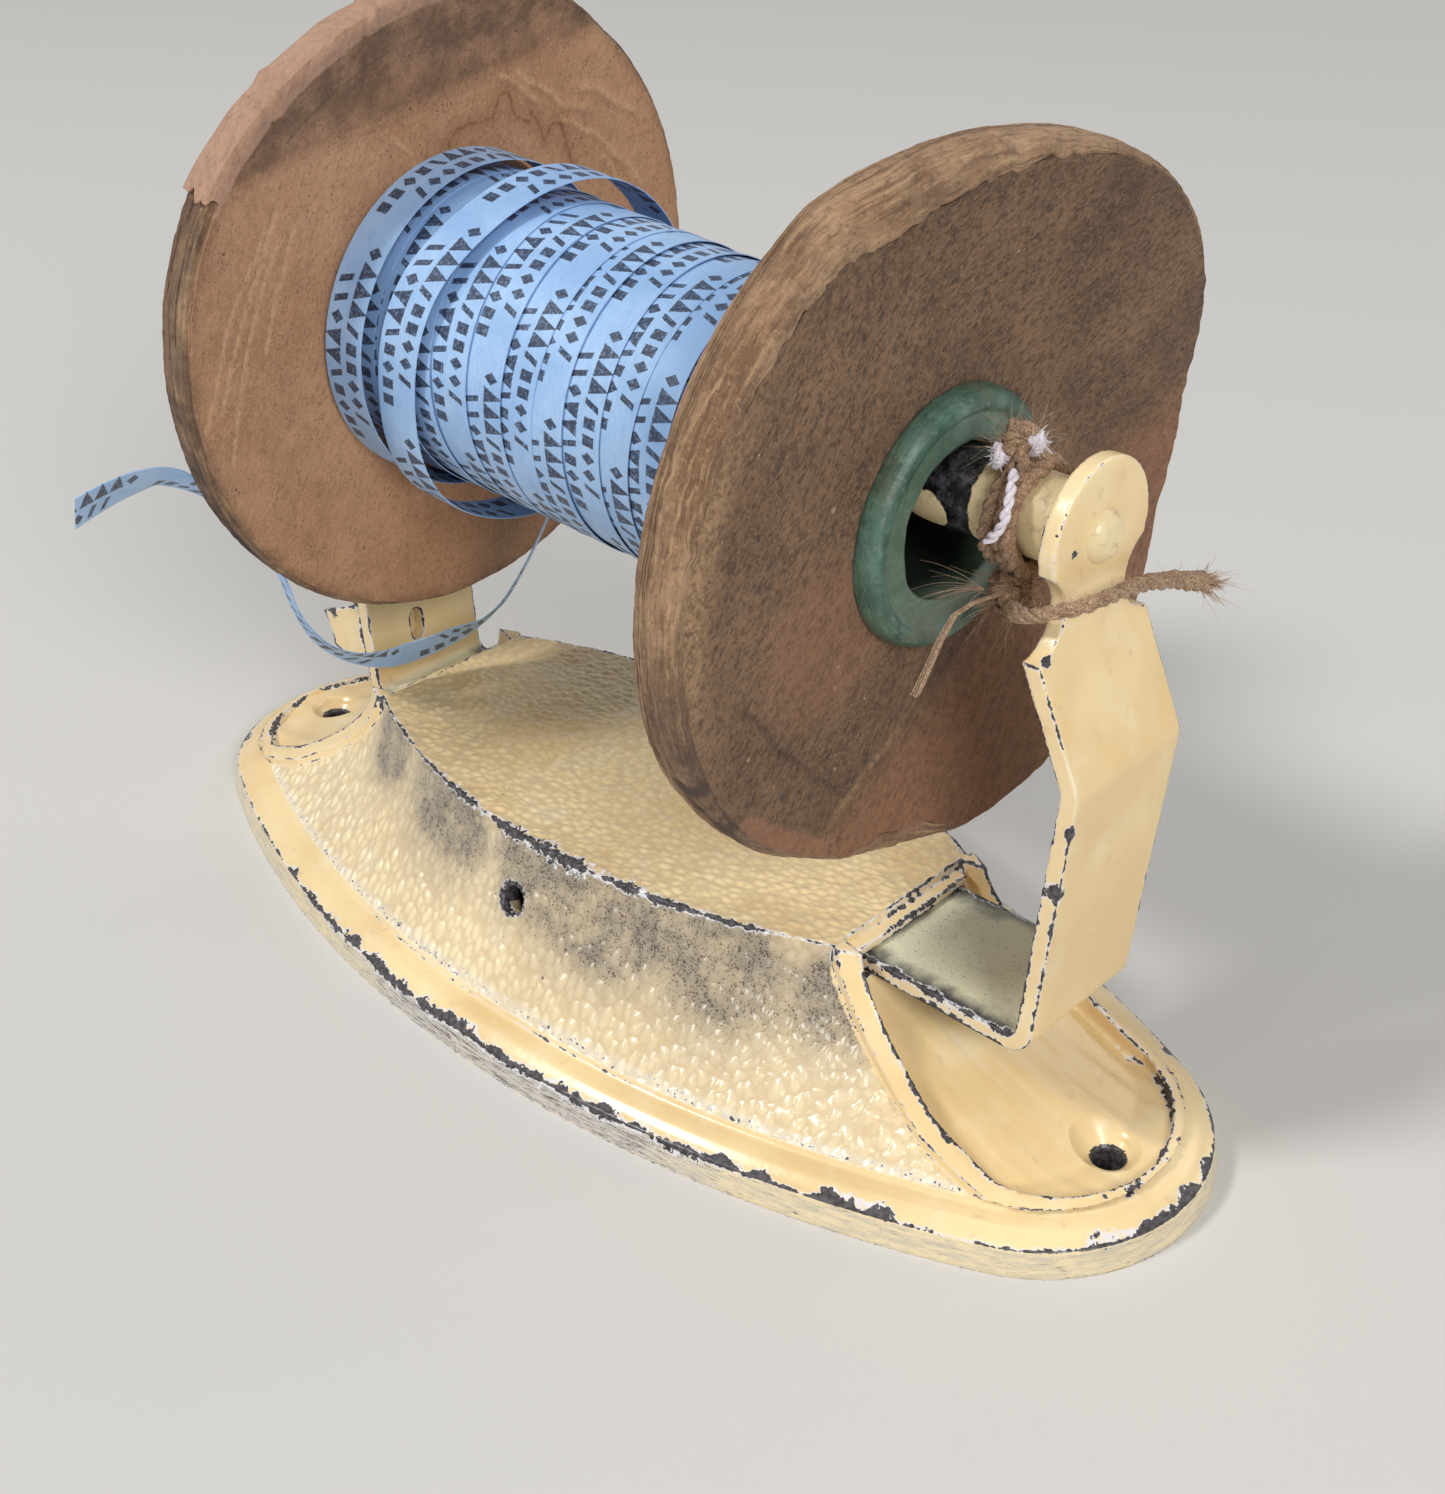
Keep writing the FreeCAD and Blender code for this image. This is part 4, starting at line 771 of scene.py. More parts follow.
def fine_copy(node, name, voxel_mm):
    """A closed, evenly meshed copy of a CAD node, with each vertex's distance to the sharp edges."""
    source = NODES[node].data.copy()
    tree = sharp_edge_tree(source)
    work = welded(source, 0.005)
    work.to_mesh(source)
    work.free()
    carrier = add_object(name + "_source", source)
    remesh = carrier.modifiers.new("remesh", "REMESH")
    remesh.mode = "VOXEL"
    remesh.voxel_size = voxel_mm * MM
    soften = carrier.modifiers.new("soften", "SMOOTH")
    soften.iterations = 1
    soften.factor = 0.5
    graph = bpy.context.evaluated_depsgraph_get()
    mesh = bpy.data.meshes.new_from_object(carrier.evaluated_get(graph))
    bpy.data.objects.remove(carrier)
    mesh.name = name
    mesh.polygons.foreach_set("use_smooth", [True] * len(mesh.polygons))
    points = points_of(mesh)
    edge = np.array([tree.find(Vector(point))[2] for point in points]) / MM
    set_attributes(mesh, edge=np.minimum(edge, 20))
    return add_object(name, mesh), points


def spots(points, places):
    """1 at the middle of each spot, 0 at its radius and beyond; places are (x, y, z, radius) in mm."""
    strength = np.zeros(len(points))
    for x, y, z, radius in places:
        away = np.linalg.norm(points / MM - (x, y, z), axis=1)
        strength = np.maximum(strength, np.clip(1 - away / radius, 0, 1))
    return strength


# The foot's oval: round ends joined by flat arcs
HALF_LENGTH, HALF_WIDTH = 120.0, 52.5
END_CENTRE, END_RADIUS = 87.0, 33.0
SIDE_RADIUS = (END_CENTRE ** 2 + HALF_WIDTH ** 2 - END_RADIUS ** 2) / (2 * (HALF_WIDTH - END_RADIUS))
SIDE_CENTRE = SIDE_RADIUS - HALF_WIDTH
PANEL_OUTLINE = [(59.5, 15.5), (84.0, 21.3), (97.0, 21.3)]
PANEL_TIP = 112.0
BEAD_WIDTH, FIELD_INSET = 3.2, 8.0
SCREW_HOLE_X = 104.2
FRONT_HOLE = (-1.2, -36.2, 25.2)


def oval_inset(x, y):
    """How far inside the foot's oval a point lies."""
    x, y = np.abs(x), np.abs(y)
    round_end = (x - END_CENTRE) * SIDE_CENTRE > y * END_CENTRE
    end = END_RADIUS - np.hypot(x - END_CENTRE, y)
    side = SIDE_RADIUS - np.hypot(x, y + SIDE_CENTRE)
    return np.where(round_end, end, side)


def panel_reach(x, y):
    """How far outside the end panel's outline a point lies."""
    x, y = np.abs(x), np.abs(y)
    beside = y - np.interp(x, *zip(*PANEL_OUTLINE))
    last_x, half = PANEL_OUTLINE[-1]
    run = PANEL_TIP - last_x
    tip_radius = (half ** 2 + run ** 2) / (2 * run)
    beyond = np.hypot(x - (PANEL_TIP - tip_radius), y) - tip_radius
    return np.where(x < PANEL_OUTLINE[0][0], 99, np.where(x > last_x, beyond, beside))


RIM_CHIPS = [
    (119.6, -4.3, 4.5, 4.4), (119.4, -8.6, 4.5, 4.0), (118.9, 2.4, 4.8, 3.6), (117.4, 9.6, 4.8, 3.0),
    (114.3, -15.0, 5.0, 4.2), (115.9, -12.2, 5.0, 2.6), (76.4, -38.0, 5.0, 3.4), (80.1, -36.6, 5.0, 4.0),
    (84.4, -34.6, 5.0, 2.8), (65.4, -42.6, 5.0, 2.6), (58.3, -44.8, 5.0, 3.0), (42.7, -48.2, 4.8, 3.0),
    (34.0, -49.6, 4.8, 3.4), (24.6, -50.4, 4.8, 3.0), (1.9, -51.4, 4.8, 4.0), (-4.0, -51.4, 4.8, 3.0),
    (-26.2, -49.6, 4.5, 3.0), (-34.0, -48.6, 4.5, 2.4), (-62.0, -42.6, 4.5, 2.2), (-110.5, -17.6, 4.0, 3.0),
    (-104.0, -22.8, 3.5, 2.5), (20.0, 49.5, 4.5, 3.0), (-90.0, 29.0, 4.5, 3.2), (96.0, 28.5, 4.0, 2.6),
]
PANEL_CHIPS = [(111.9, 8.8, 8.5, 1.3), (111.8, 4.6, 8.5, 0.9), (112.2, 0.1, 8.5, 1.3),
               (112.5, -6.3, 8.5, 1.7), (112.6, -4.4, 8.5, 1.2), (110.2, -10.6, 8.6, 1.1)]
DIRT_PATCH = [(20.0, -33.0, 30.0, 30.0), (44.0, -33.0, 27.0, 25.0), (4.0, -31.0, 30.0, 20.0),
              (-24.0, -30.0, 32.0, 22.0), (64.0, -24.0, 28.0, 17.0), (67.0, -20.0, 22.0, 9.0),
              (-50.0, -24.0, 32.0, 14.0), (-20.0, 34.0, 30.0, 26.0), (60.0, 30.0, 30.0, 20.0),
              (-50.0, -6.0, 36.0, 15.0)]
# Pebbles: their pitch, and the grain's height where there are none
PEBBLE_PITCH, PLAIN = 1.95, 0.9


def grain(points):
    """Height of a leather-like grain: 1 on the crown of each pebble, near 0 in the valleys."""
    heights = np.zeros(len(points))
    for index, point in enumerate(points / (PEBBLE_PITCH * MM)):
        nearest, second = noise.voronoi(Vector(point))[0][:2]
        heights[index] = min(1.0, 1.7 * (second - nearest)) * 0.6 + 0.4 * max(0.0, 1 - 1.4 * nearest)
    return heights


def pebbles(points, upward, field):
    """Height of the grain and how far it lifts each vertex where the field says; on the slopes the
    pebbles are long and run down."""
    chosen = np.nonzero(field > 0.01)[0]
    there = points[chosen]
    slope = smoothstep(0.93, 0.8, upward[chosen])[:, None]
    squeeze = np.array((0.9, 1.3, 1.2)) * (1 - slope) + np.array((1.0, 0.75, 0.62)) * slope
    wavy = there + 0.5 * MM * np.stack([fractal(there, 260, 2, seed) for seed in (1, 5, 9)], 1)
    pebble, lift = np.full(len(points), PLAIN), np.zeros(len(points))
    pebble[chosen] = grain(wavy * squeeze)
    lift[chosen] = ((pebble[chosen] - 0.75) * 0.42 + 0.14 * fractal(there, 300, 2, 3.0)) * field[chosen]
    return pebble, lift


def make_foot():
    """The casting with its pebbled dome, the band's bead and the wear of its enamel."""
    piece, points = fine_copy("base_casting", "enamelled_foot", 0.42)
    mesh = piece.data
    normals = normals_of(mesh)
    upward = normals[:, 2]
    x, y, z = (points / MM).T
    wide, deep = np.abs(x), np.abs(y)
    inset, reach = oval_inset(x, y), panel_reach(x, y)
    outward = (normals[:, 0] * x / HALF_LENGTH + normals[:, 1] * y / HALF_WIDTH > 0.02) & (upward > -0.2)
    outside = ((upward > 0.45) & (z > 7)) | outward

    field = (smoothstep(FIELD_INSET - 0.8, FIELD_INSET, inset) * smoothstep(8.0, 8.8, z)
             * smoothstep(BEAD_WIDTH + 0.2, BEAD_WIDTH + 1.0, reach) * outside)
    pebble, lift = pebbles(points, upward, field)
    panel = (reach < 0) & (z > 6) & (z < 31) & outside
    lift[panel] += 0.4 * fractal(points[panel] * (0.08, 1.0, 0.3), 210, 2, 6.0)

    # The band along the foot: a groove under the pebbles and a rounded bead outside it
    bead, groove = smoothstep(1.9, 0, np.abs(inset - 4.0)), smoothstep(1.3, 0, np.abs(inset - 6.7))
    lift += (0.32 * bead - 0.3 * groove) * ((z > 5.2) & outside & (reach > BEAD_WIDTH - 1))
    moved = points + normals * (lift * MM)[:, None]
    mesh.vertices.foreach_set("co", moved.astype(np.float32).ravel())
    mesh.update()

    screw_hole = np.hypot(wide - SCREW_HOLE_X, y) < 8
    over_slot = (wide > 62) & (deep < 17.5) & (z > 29)
    chips = spots(points, RIM_CHIPS)
    top = upward > 0.5
    front = smoothstep(70, 40, np.abs(x - 5)) * (y < 0)
    wear = np.full(len(points), 0.12)
    wear = np.where(z > 33.5, 0.35 + 0.85 * np.exp(-((x - 8) / 30) ** 2), wear)
    wear = np.where((z > 3.0) & (z < 6.2), np.where(top, 0.4 + 0.35 * front, 0.05 + 0.8 * front), wear)
    wear = np.where((np.abs(reach) < 1.2) & (z < 33.5) & (z > 6), 0.4, wear)
    wear = np.where(over_slot, 0.4, wear)
    wear = np.where(screw_hole, 0, wear + 2.2 * top * np.minimum(1, 2 * chips))
    under = (upward < -0.3) | ~outside & (inset > 7) & (upward < 0.15) & (wide < 58)
    border = (field > 0.02) * smoothstep(1.1, 0.2, np.abs(inset - FIELD_INSET))
    hole = np.linalg.norm(points / MM - FRONT_HOLE, axis=1)
    hole_chip = np.where(~outside, smoothstep(9.0, 6.0, hole), 0.62 * smoothstep(4.6, 2.6, hole))
    chip = np.maximum.reduce([chips * 0.3, spots(points, PANEL_CHIPS), 0.42 * under, hole_chip])
    # bore: the screw hole's wall is made dark bare iron, painting the shade inside the hole.
    bore = (np.hypot(wide - SCREW_HOLE_X, y) < 3.1) & (z < 6.4)
    below = smoothstep(10, 31, z) * (upward < 0.9)
    patch = np.minimum(1, 1.35 * spots(points, DIRT_PATCH))
    dirt = np.clip(patch * (0.25 + 0.75 * below) + 0.24 + 0.06 * below, 0, 1)
    lintel = over_slot & (z < 36.2) & outside
    # pale paints a sheen on the sloping faces and a pale line along the pebbles' edge.
    set_attributes(mesh, wear=wear, chip=np.maximum.reduce([chip * ~screw_hole, 0.29 * border, bore]),
                   pebble=np.where(field > 0.3, pebble, PLAIN), dirt=dirt * (field > 0.3),
                   side=smoothstep(5.0, 4.6, z) * (upward < 0.5) * outward + 0.5 * lintel,
                   bare=0, pale=smoothstep(0.9, 0.75, upward) * (field > 0.3) + 1.6 * border)
    finish_piece(piece, "root", "iron", "enamel", "base_casting")


RIGHT_ARM_CHIPS = [
    (97.0, -13.2, 62.9, 2.4), (99.0, -13.2, 74.0, 1.6), (90.8, -6.9, 113.6, 1.1), (92.4, 3.4, 117.2, 1.2),
    (92.4, 4.0, 114.4, 1.5), (92.2, -3.6, 111.0, 1.3), (92.6, -2.2, 110.6, 0.9), (91.0, 13.2, 84.3, 1.9),
    (95.0, 13.3, 79.0, 1.4), (90.8, 3.9, 93.5, 0.6), (96.5, 13.2, 52.0, 1.4), (90.8, -11.4, 98.4, 1.2),
]
LEFT_ARM_CHIPS = [(-72.0, -12.8, 48.0, 1.6), (-66.0, -2.0, 43.0, 2.6), (-70.0, 12.5, 60.0, 2.0)]
RUST_SPOTS = [(87.0, -9.5, 33.0, 4.0), (83.0, -9.7, 33.0, 3.4), (91.0, -10.0, 33.0, 3.0)]
TAB_CHIPS = [(-72.3, -13.4, 51.2, 1.6), (-70.5, -13.4, 49.4, 1.6), (-80.0, -13.4, 46.0, 1.8)]


def make_arm(side, chips, nearer):
    """A strap; nearer says how much further in it stands than the right one."""
    name = f"{side}_arm"
    piece, points = fine_copy(name, f"enamelled_{name}", 0.38)
    normals = normals_of(piece.data)
    x, _, z = (points / MM).T
    foot = smoothstep(35.5, 34.0, z) * smoothstep(93.0, 90.5, np.abs(x) + nearer)
    face = np.abs(normals[:, 1]) < 0.6
    spotted = spots(points, chips)
    wear = np.where(face, 0.13, 0.24) + 0.4 * foot + 0.1 * (z < 60)
    # pale paints a sheen on the strap's narrow faces.
    set_attributes(piece.data, wear=wear + np.minimum(1, 2 * spotted),
                   chip=np.maximum(spotted, 0.5 * foot * (normals[:, 2] < -0.3)), pebble=PLAIN,
                   dirt=0.2 * ~face + 0.9 * spots(points, RUST_SPOTS), side=0,
                   bare=foot * (normals[:, 2] > 0.3), pale=0.3 * ~face)
    finish_piece(piece, name, "strap", "enamel", name)


def make_small_metal():
    tab, points = fine_copy("left_tab", "enamelled_tab", 0.4)
    set_attributes(tab.data, wear=0.5, pebble=PLAIN, dirt=0.2, side=0, bare=0, pale=0,
                   chip=spots(points, TAB_CHIPS))
    finish_piece(tab, "left_arm", "strap", "enamel", "left_tab")
    for node, material in (("right_axle", "axle_right"), ("left_axle", "axle_left"),
                           ("left_tab_rivet", "steel"), ("foot_screws", "steel"), ("foot_washers", "steel"),
                           ("left_bush", "green"), ("core_tube", "board")):
        NODES[node].data.materials.clear()
        NODES[node].data.materials.append(MATERIALS[material])


# Flanges: where the inner and outer faces of their boards stand along the spool, and the kraft on them
BOARDS = {"left": (1.4, -5.4), "right": (105.4, 112.2)}
KRAFT_THICK, KRAFT_RADIUS = 0.6, 56.3
FLANGE_RADIUS, CORE_RADIUS = 57.6, 17.6
SOFTNESS = 5.0
TURNS = 480
# Which way (y, z) the flanges are bent, each beyond a crease
LOW, HIGH, TOP = (0.57, -0.82), (0.64, 0.77), (-0.16, 0.987)


def past(y, z, way):
    """How far a place on a flange is from its middle along a way."""
    return (y * way[0] + z * way[1]) / math.hypot(*way)


def fold(y, z, way, reach, slope):
    """How far a sheet is bent away beyond a crease, as in the CAD model."""
    beyond = np.maximum(0, past(y, z, way) - reach)
    return slope * beyond ** 2 / (beyond + SOFTNESS)


def right_warp(y, z):
    return fold(y, z, LOW, 25.0, 0.36) + fold(y, z, HIGH, 21.0, 0.36)


def left_warp(y, z):
    return fold(y, z, TOP, 38.5, 0.3)


def angle_bump(degrees, middle, half_width):
    """1 at a direction in degrees, falling smoothly to 0 at half_width; 0 is +Y and 90 is up."""
    return smoothstep(half_width, 0, np.abs((degrees - middle + 180) % 360 - 180))


def by_angle(degrees, table):
    """A value by direction, from a table of (degrees, value) that closes on itself."""
    angles, values = zip(*table)
    return np.interp(np.mod(degrees, 360), angles, values, period=360)


# Radius by direction to which the right flange's outer kraft is torn back; the board's rim rolls over it
TORN_EDGE = [
    (55, 56.3), (72, 55.4), (88, 53.4), (100, 50.8), (111, 50.4), (119, 51.8), (130, 52.4), (142, 53.4),
    (160, 54.4), (180, 54.8), (200, 55.0), (215, 55.6), (235, 56.3), (251, 56.3), (257, 53.2), (267, 52.8),
    (275, 56.3)]
# Where the plies are cracked, at shares of the rim's width from inside to outside
PLY_CRACKS = {"left": (0.14, 0.27, 0.41, 0.56, 0.7, 0.84), "right": (0.15, 0.23, 0.33, 0.44, 0.54)}


def noise_round(degrees, seed, scale, octaves=5):
    """Noise that closes on itself round a flange."""
    turn = np.radians(degrees)
    places = [Vector((math.cos(t) * scale, math.sin(t) * scale, seed)) for t in turn]
    return np.array([noise.fractal(place, 1.0, 2.0, octaves) for place in places])


def make_board(side, warp):
    """The pulpboard disc: two faces, a rubbed rim with cracked plies, and the bore."""
    right = side == "right"
    inner_x, outer_x = BOARDS[side]
    out = 1 if right else -1
    turn = circle(TURNS)
    degrees = np.degrees(turn)
    torn = by_angle(degrees, TORN_EDGE) if right else np.full(TURNS, KRAFT_RADIUS)
    is_torn = smoothstep(56.2, 54.0, torn)
    rim = FLANGE_RADIUS - 0.25 + 0.35 * noise_round(degrees, 4.0 if right else 9.0, 2.5)
    lip = is_torn * (0.9 + 0.45 * noise_round(degrees, 2.0, 20.0) + 1.3 * angle_bump(degrees, 109, 9))
    ragged = torn + is_torn * (1.0 + angle_bump(degrees, 110, 30)) * noise_round(degrees, 6.0, 14.0)
    round_out, round_in = 1.2 + 4.3 * is_torn, 1.0
    rows, crack_and_gap_shades, darkenings, plies = [], [], [], []

    def add(x, radius, crack_and_gap_shade=0.0, darkening=0.0):
        row = ring(x, radius, turn)
        row[:, 0] += warp(row[:, 1], row[:, 2])
        rows.append(row)
        crack_and_gap_shades.append(np.broadcast_to(crack_and_gap_shade, turn.shape))
        darkenings.append(np.broadcast_to(darkening, turn.shape))
        plies.append(np.full(turn.shape, len(rows) * 0.16))

    def surface(x, radius, share, outwards):
        """A row of the rim: fuzz, and grooves where the plies are cracked, pushed in along the way outwards
        (axial, radial).
        """
        fuzz = [noise.noise(Vector((math.cos(t) * 40, math.sin(t) * 40, share * 17))) for t in turn]
        depth = np.zeros(TURNS)
        for number, place in enumerate(PLY_CRACKS[side]):
            wander = 0.05 * noise_round(degrees, 20.0 + number, 1.6)
            strength = smoothstep(-0.12, 0.22, noise_round(degrees, 40.0 + number, 2.2))
            depth = np.maximum(depth, strength * np.exp(-((share + wander - place) / 0.02) ** 2))
        # Darker low on the left of the right board's rim and all over the left board's rim.
        lower_left = angle_bump(degrees, 214, 40) * smoothstep(0.1, 0.6, share)
        push = 0.16 * np.array(fuzz) - 0.3 * depth
        add(x + outwards[0] * push, radius + outwards[1] * push, depth * (share < 0.62 or not right),
            np.clip(lower_left + (0.04 if right else 0.62), 0, 1))

    for share in np.linspace(0, 1, 16):
        add(inner_x, CORE_RADIUS + (rim - round_in - CORE_RADIUS) * share)
    for share in np.linspace(0, 1, 9)[1:]:
        axial, radial = math.cos(share * math.pi / 2), math.sin(share * math.pi / 2)
        surface(inner_x + out * 0.8 * (1 - axial), rim - round_in * (1 - radial), 0.1 * share,
                (-out * axial, radial))
    start, stop = inner_x + out * 0.8, outer_x + out * lip - out * round_out
    for share in np.linspace(0, 1, 40)[1:]:
        surface(start + (stop - start) * share, rim, 0.1 + 0.5 * share, (0, 1))
    for share in np.linspace(0, 1, 40)[1:]:
        axial, radial = math.sin(share * math.pi / 2), math.cos(share * math.pi / 2)
        surface(stop + out * round_out * axial, rim - (rim - ragged) * (1 - radial) * 0.98,
                0.6 + 0.4 * share, (out * axial, radial))
    # The step under the torn lip: its crack and grime values paint the shade in the gap beneath the lip.
    add(outer_x + out * 0.3 * lip, ragged - 0.35 * is_torn, 0.6 * is_torn, 0.5)
    for share in np.linspace(0, 1, 16):
        add(outer_x, ragged - 0.6 + (CORE_RADIUS - ragged + 0.6) * share)
    attributes = {"crack_and_gap_shade": np.array(crack_and_gap_shades), "darkening": np.array(darkenings), "ply": np.array(plies),
                  "around": np.tile(np.abs(degrees - 180), (len(rows), 1))}
    make_piece(f"{side}_pulpboard", to_world(rows), grid_faces(len(rows), TURNS, True, flip=not right),
               "spool", "board", "board", f"{side}_flange_board", attributes=attributes, sharp=60)


def facing(name, x_back, way, warp, edge, material, replaced, relief, marks, extra=()):
    """A kraft sheet on a board's face, which looks along way, 1 or -1. edge gives its radius by direction,
    relief its wrinkles by (y, z) and marks its attributes by (y, z); extra holds more (points, faces)."""
    turn = circle(TURNS)
    rim = edge(np.degrees(turn))
    top, bottom = [], []
    for share in np.concatenate([np.linspace(0, 0.9, 64), np.linspace(0.91, 1, 10)]):
        back = ring(x_back, CORE_RADIUS + (rim - CORE_RADIUS) * share, turn)
        back[:, 0] += warp(back[:, 1], back[:, 2])
        push = relief(back[:, 1], back[:, 2])
        top.append(back + np.stack([way * (KRAFT_THICK + push), 0 * push, 0 * push], 1))
        bottom.append(back + np.stack([way * np.minimum(push, 0.0) * 0.2, 0 * push, 0 * push], 1))
    local = np.array(top + bottom[::-1])
    faces = grid_faces(len(local), TURNS, True, flip=way < 0).tolist()
    points, faces = joined([(local.reshape(-1, 3), faces), *extra])
    make_piece(name, to_world(points), faces, "spool", "kraft", material, replaced,
               attributes=marks(points[:, 1], points[:, 2]), sharp=60)


def plain_noise(scale, seed):
    """A function of (y, z) that gives smooth noise of about -1 to 1."""
    def value(y, z):
        made = [noise.fractal(Vector((a * scale + seed, b * scale, seed * 2.3)), 1.0, 2.0, 4)
                for a, b in zip(np.ravel(y), np.ravel(z))]
        return np.array(made).reshape(np.shape(y))
    return value


def line_distance(y, z, line):
    """How far places on a flange are from a drawn line."""
    nearest = np.full(np.shape(y), 99.0)
    for (y0, z0), (y1, z1) in zip(line, line[1:]):
        run = (y1 - y0) ** 2 + (z1 - z0) ** 2
        share = np.clip(((y - y0) * (y1 - y0) + (z - z0) * (z1 - z0)) / run, 0, 1)
        nearest = np.minimum(nearest, np.hypot(y - y0 - share * (y1 - y0), z - z0 - share * (z1 - z0)))
    return nearest


def along_lines(y, z, lines, half_width):
    """1 on any of the lines, falling to 0 at half_width from them."""
    return smoothstep(half_width, 0, np.minimum.reduce([line_distance(y, z, line) for line in lines]))


def crease_line(y, z, way, reach, half_width):
    """1 on a crease, falling to 0 at half_width from it."""
    return smoothstep(half_width, 0, np.abs(past(y, z, way) - reach))


# Lines drawn on the facings, as (y, z)
WRINKLES = [
    [(15.5, 39.5), (17.6, 37.4), (20.0, 36.6), (23.3, 34.5), (25.0, 32.2), (27.5, 31.6), (32.4, 30.4)],
    [(25.8, 29.4), (28.0, 28.6), (31.0, 26.5), (33.5, 25.6), (35.4, 23.7), (39.1, 20.3), (41.6, 18.8),
     (45.6, 13.6)],
    [(35.4, 21.0), (37.6, 18.6), (39.1, 15.6), (41.2, 14.0), (43.8, 11.6), (49.6, 7.2)],
    [(11.0, 39.7), (13.2, 39.0), (15.8, 37.0), (19.9, 33.6)],
    [(30.0, 34.4), (34.2, 33.6), (38.8, 30.4), (44.0, 27.6)],
    [(-12.6, 33.4), (-9.0, 30.0), (-8.2, 27.4)],
]
SCRATCHES = [
    [(-36.4, 27.5), (-38.8, 22.9), (-44.3, 12.5), (-49.1, 2.1), (-51.5, -5.0)],
    [(-39.6, 23.4), (-42.8, 18.5), (-47.9, 11.0), (-52.1, -0.2), (-55.0, -7.0)],
    [(-37.4, 21.5), (-41.3, 14.5), (-45.6, 4.0), (-48.5, -6.0), (-50.5, -14.0)],
    [(-34.2, 22.6), (-38.5, 13.0), (-42.0, 3.0)],
]
WATER_EDGE = [(-1.0, 30.1), (1.1, 32.4), (4.3, 32.7), (6.7, 32.6), (9.5, 33.0), (10.9, 36.4), (13.0, 36.9),
              (14.4, 32.1), (17.7, 30.5), (18.2, 32.6), (19.8, 30.1), (21.4, 26.4), (23.2, 29.5),
              (25.3, 28.8), (26.6, 25.4), (28.2, 19.9), (26.8, 16.2)]
CRACK = [(-44.4, -14.9), (-41.0, -17.6), (-36.8, -22.5), (-34.6, -26.4), (-29.8, -30.9), (-25.0, -35.8),
         (-18.7, -41.7)]
TORN_PATCH = [(-40.0, -38.5), (-33.0, -44.5), (-25.0, -50.0)]

# Height of the wrap's facets, in parts of its lift, between the folds at these directions
WRAP_FOLDS = [(70, 0.9), (84, 0.9), (92, 0.5), (99, 1.1), (106, 0.8), (107.6, 1.9), (109, 0.5), (116, 1.3),
              (121, 0.8), (126.5, 1.0), (128.6, 2.1), (130.6, 0.5), (136, 1.1), (141, 0.7), (150, 0.9)]
# The wrap's section from the inner face over the rim, as (x, radius, lift)
WRAP_SECTION = [(2.0, 50.0, 0.02), (2.0, 52.5, 0.3), (2.0, 55.0, 0.6), (1.9, 56.6, 0.7), (1.2, 57.8, 0.6),
                (0.0, 58.0, 0.5), (-1.5, 58.0, 0.5), (-3.0, 58.0, 0.45), (-4.6, 57.9, 0.5),
                (-5.9, 57.2, 0.6), (-6.4, 55.6, 0.5), (-6.4, 53.0, 0.3), (-6.3, 50.5, 0.1)]
WRAP_ROWS, WRAP_MIDDLE, WRAP_SKEW, WRAP_THICK = 49, 20, 3.0, 0.35


def kraft_wrap():
    """The kraft's margin folded over the left flange's rim, crumpled, from inner face to outer face."""
    degrees = np.linspace(78, 148.5, 210)
    turn = np.radians(degrees)
    fade = smoothstep(78, 86, degrees)
    sheets = []
    for depth in (0.0, WRAP_THICK):
        rows = []
        for number, (x, radius, lift) in enumerate(resampled(WRAP_SECTION, WRAP_ROWS)):
            off = (number - WRAP_MIDDLE) / WRAP_MIDDLE
            trim = 2.2 * noise.noise(Vector((number * 0.21, 3.0, 0.0))) - 1.2 * abs(off)
            angle = turn + math.radians(trim) * smoothstep(128, 148, degrees)
            facets = np.interp(degrees + WRAP_SKEW * off, *zip(*WRAP_FOLDS))
            crumple = [noise.fractal(Vector((a * 6.0, number * 0.09, 5.0)), 1.0, 2.0, 2) for a in turn]
            push = lift * fade * (facets + 0.16 * np.array(crumple)) - depth
            row = ring(x, radius + push * (1 if 1.9 > x > -5.9 else 0.3), angle)
            row[:, 0] += left_warp(row[:, 1], row[:, 2]) + push * (1 if x >= 1.2 else -1 if x < -5.9 else 0)
            rows.append(row)
        sheets.append(np.array(rows))
    rows, columns = WRAP_ROWS, len(turn)
    loop = np.concatenate([sheets[0], sheets[1][::-1]])
    faces = grid_faces(2 * rows, columns, True, close_columns=False).tolist()
    for column in (0, columns - 1):
        for row in range(rows - 1):
            quad = [row * columns + column, (row + 1) * columns + column,
                    (2 * rows - 2 - row) * columns + column, (2 * rows - 1 - row) * columns + column]
            faces.append(quad if column == 0 else quad[::-1])
    return loop.reshape(-1, 3), [face[::-1] for face in faces]


# The facings' unevenness, wrinkles and marks
broad, small = plain_noise(0.035, 3.0), plain_noise(0.13, 8.0)


def polar(y, z):
    return np.hypot(y, z), np.degrees(np.arctan2(z, y))


def gentle(y, z):
    return 0.22 * broad(y, z) + 0.1 * small(y, z) + 0.05


def right_relief(y, z):
    radius, degrees = polar(y, z)
    sunk = smoothstep(4.0, 0.0, by_angle(degrees, TORN_EDGE) - radius) * angle_bump(degrees, 190, 62)
    return (gentle(y, z) + 0.25 * crease_line(y, z, LOW, 26.5, 1.6) - 0.45 * sunk
            - 0.3 * along_lines(y, z, [TORN_PATCH], 4.0) - 0.3 * along_lines(y, z, [CRACK], 0.9))


def left_relief(y, z):
    return (gentle(y, z) + 0.2 * crease_line(y, z, TOP, 38.2, 1.2)
            + 0.6 * along_lines(y, z, WRINKLES, 1.0) - 0.15 * along_lines(y, z, SCRATCHES, 0.8))


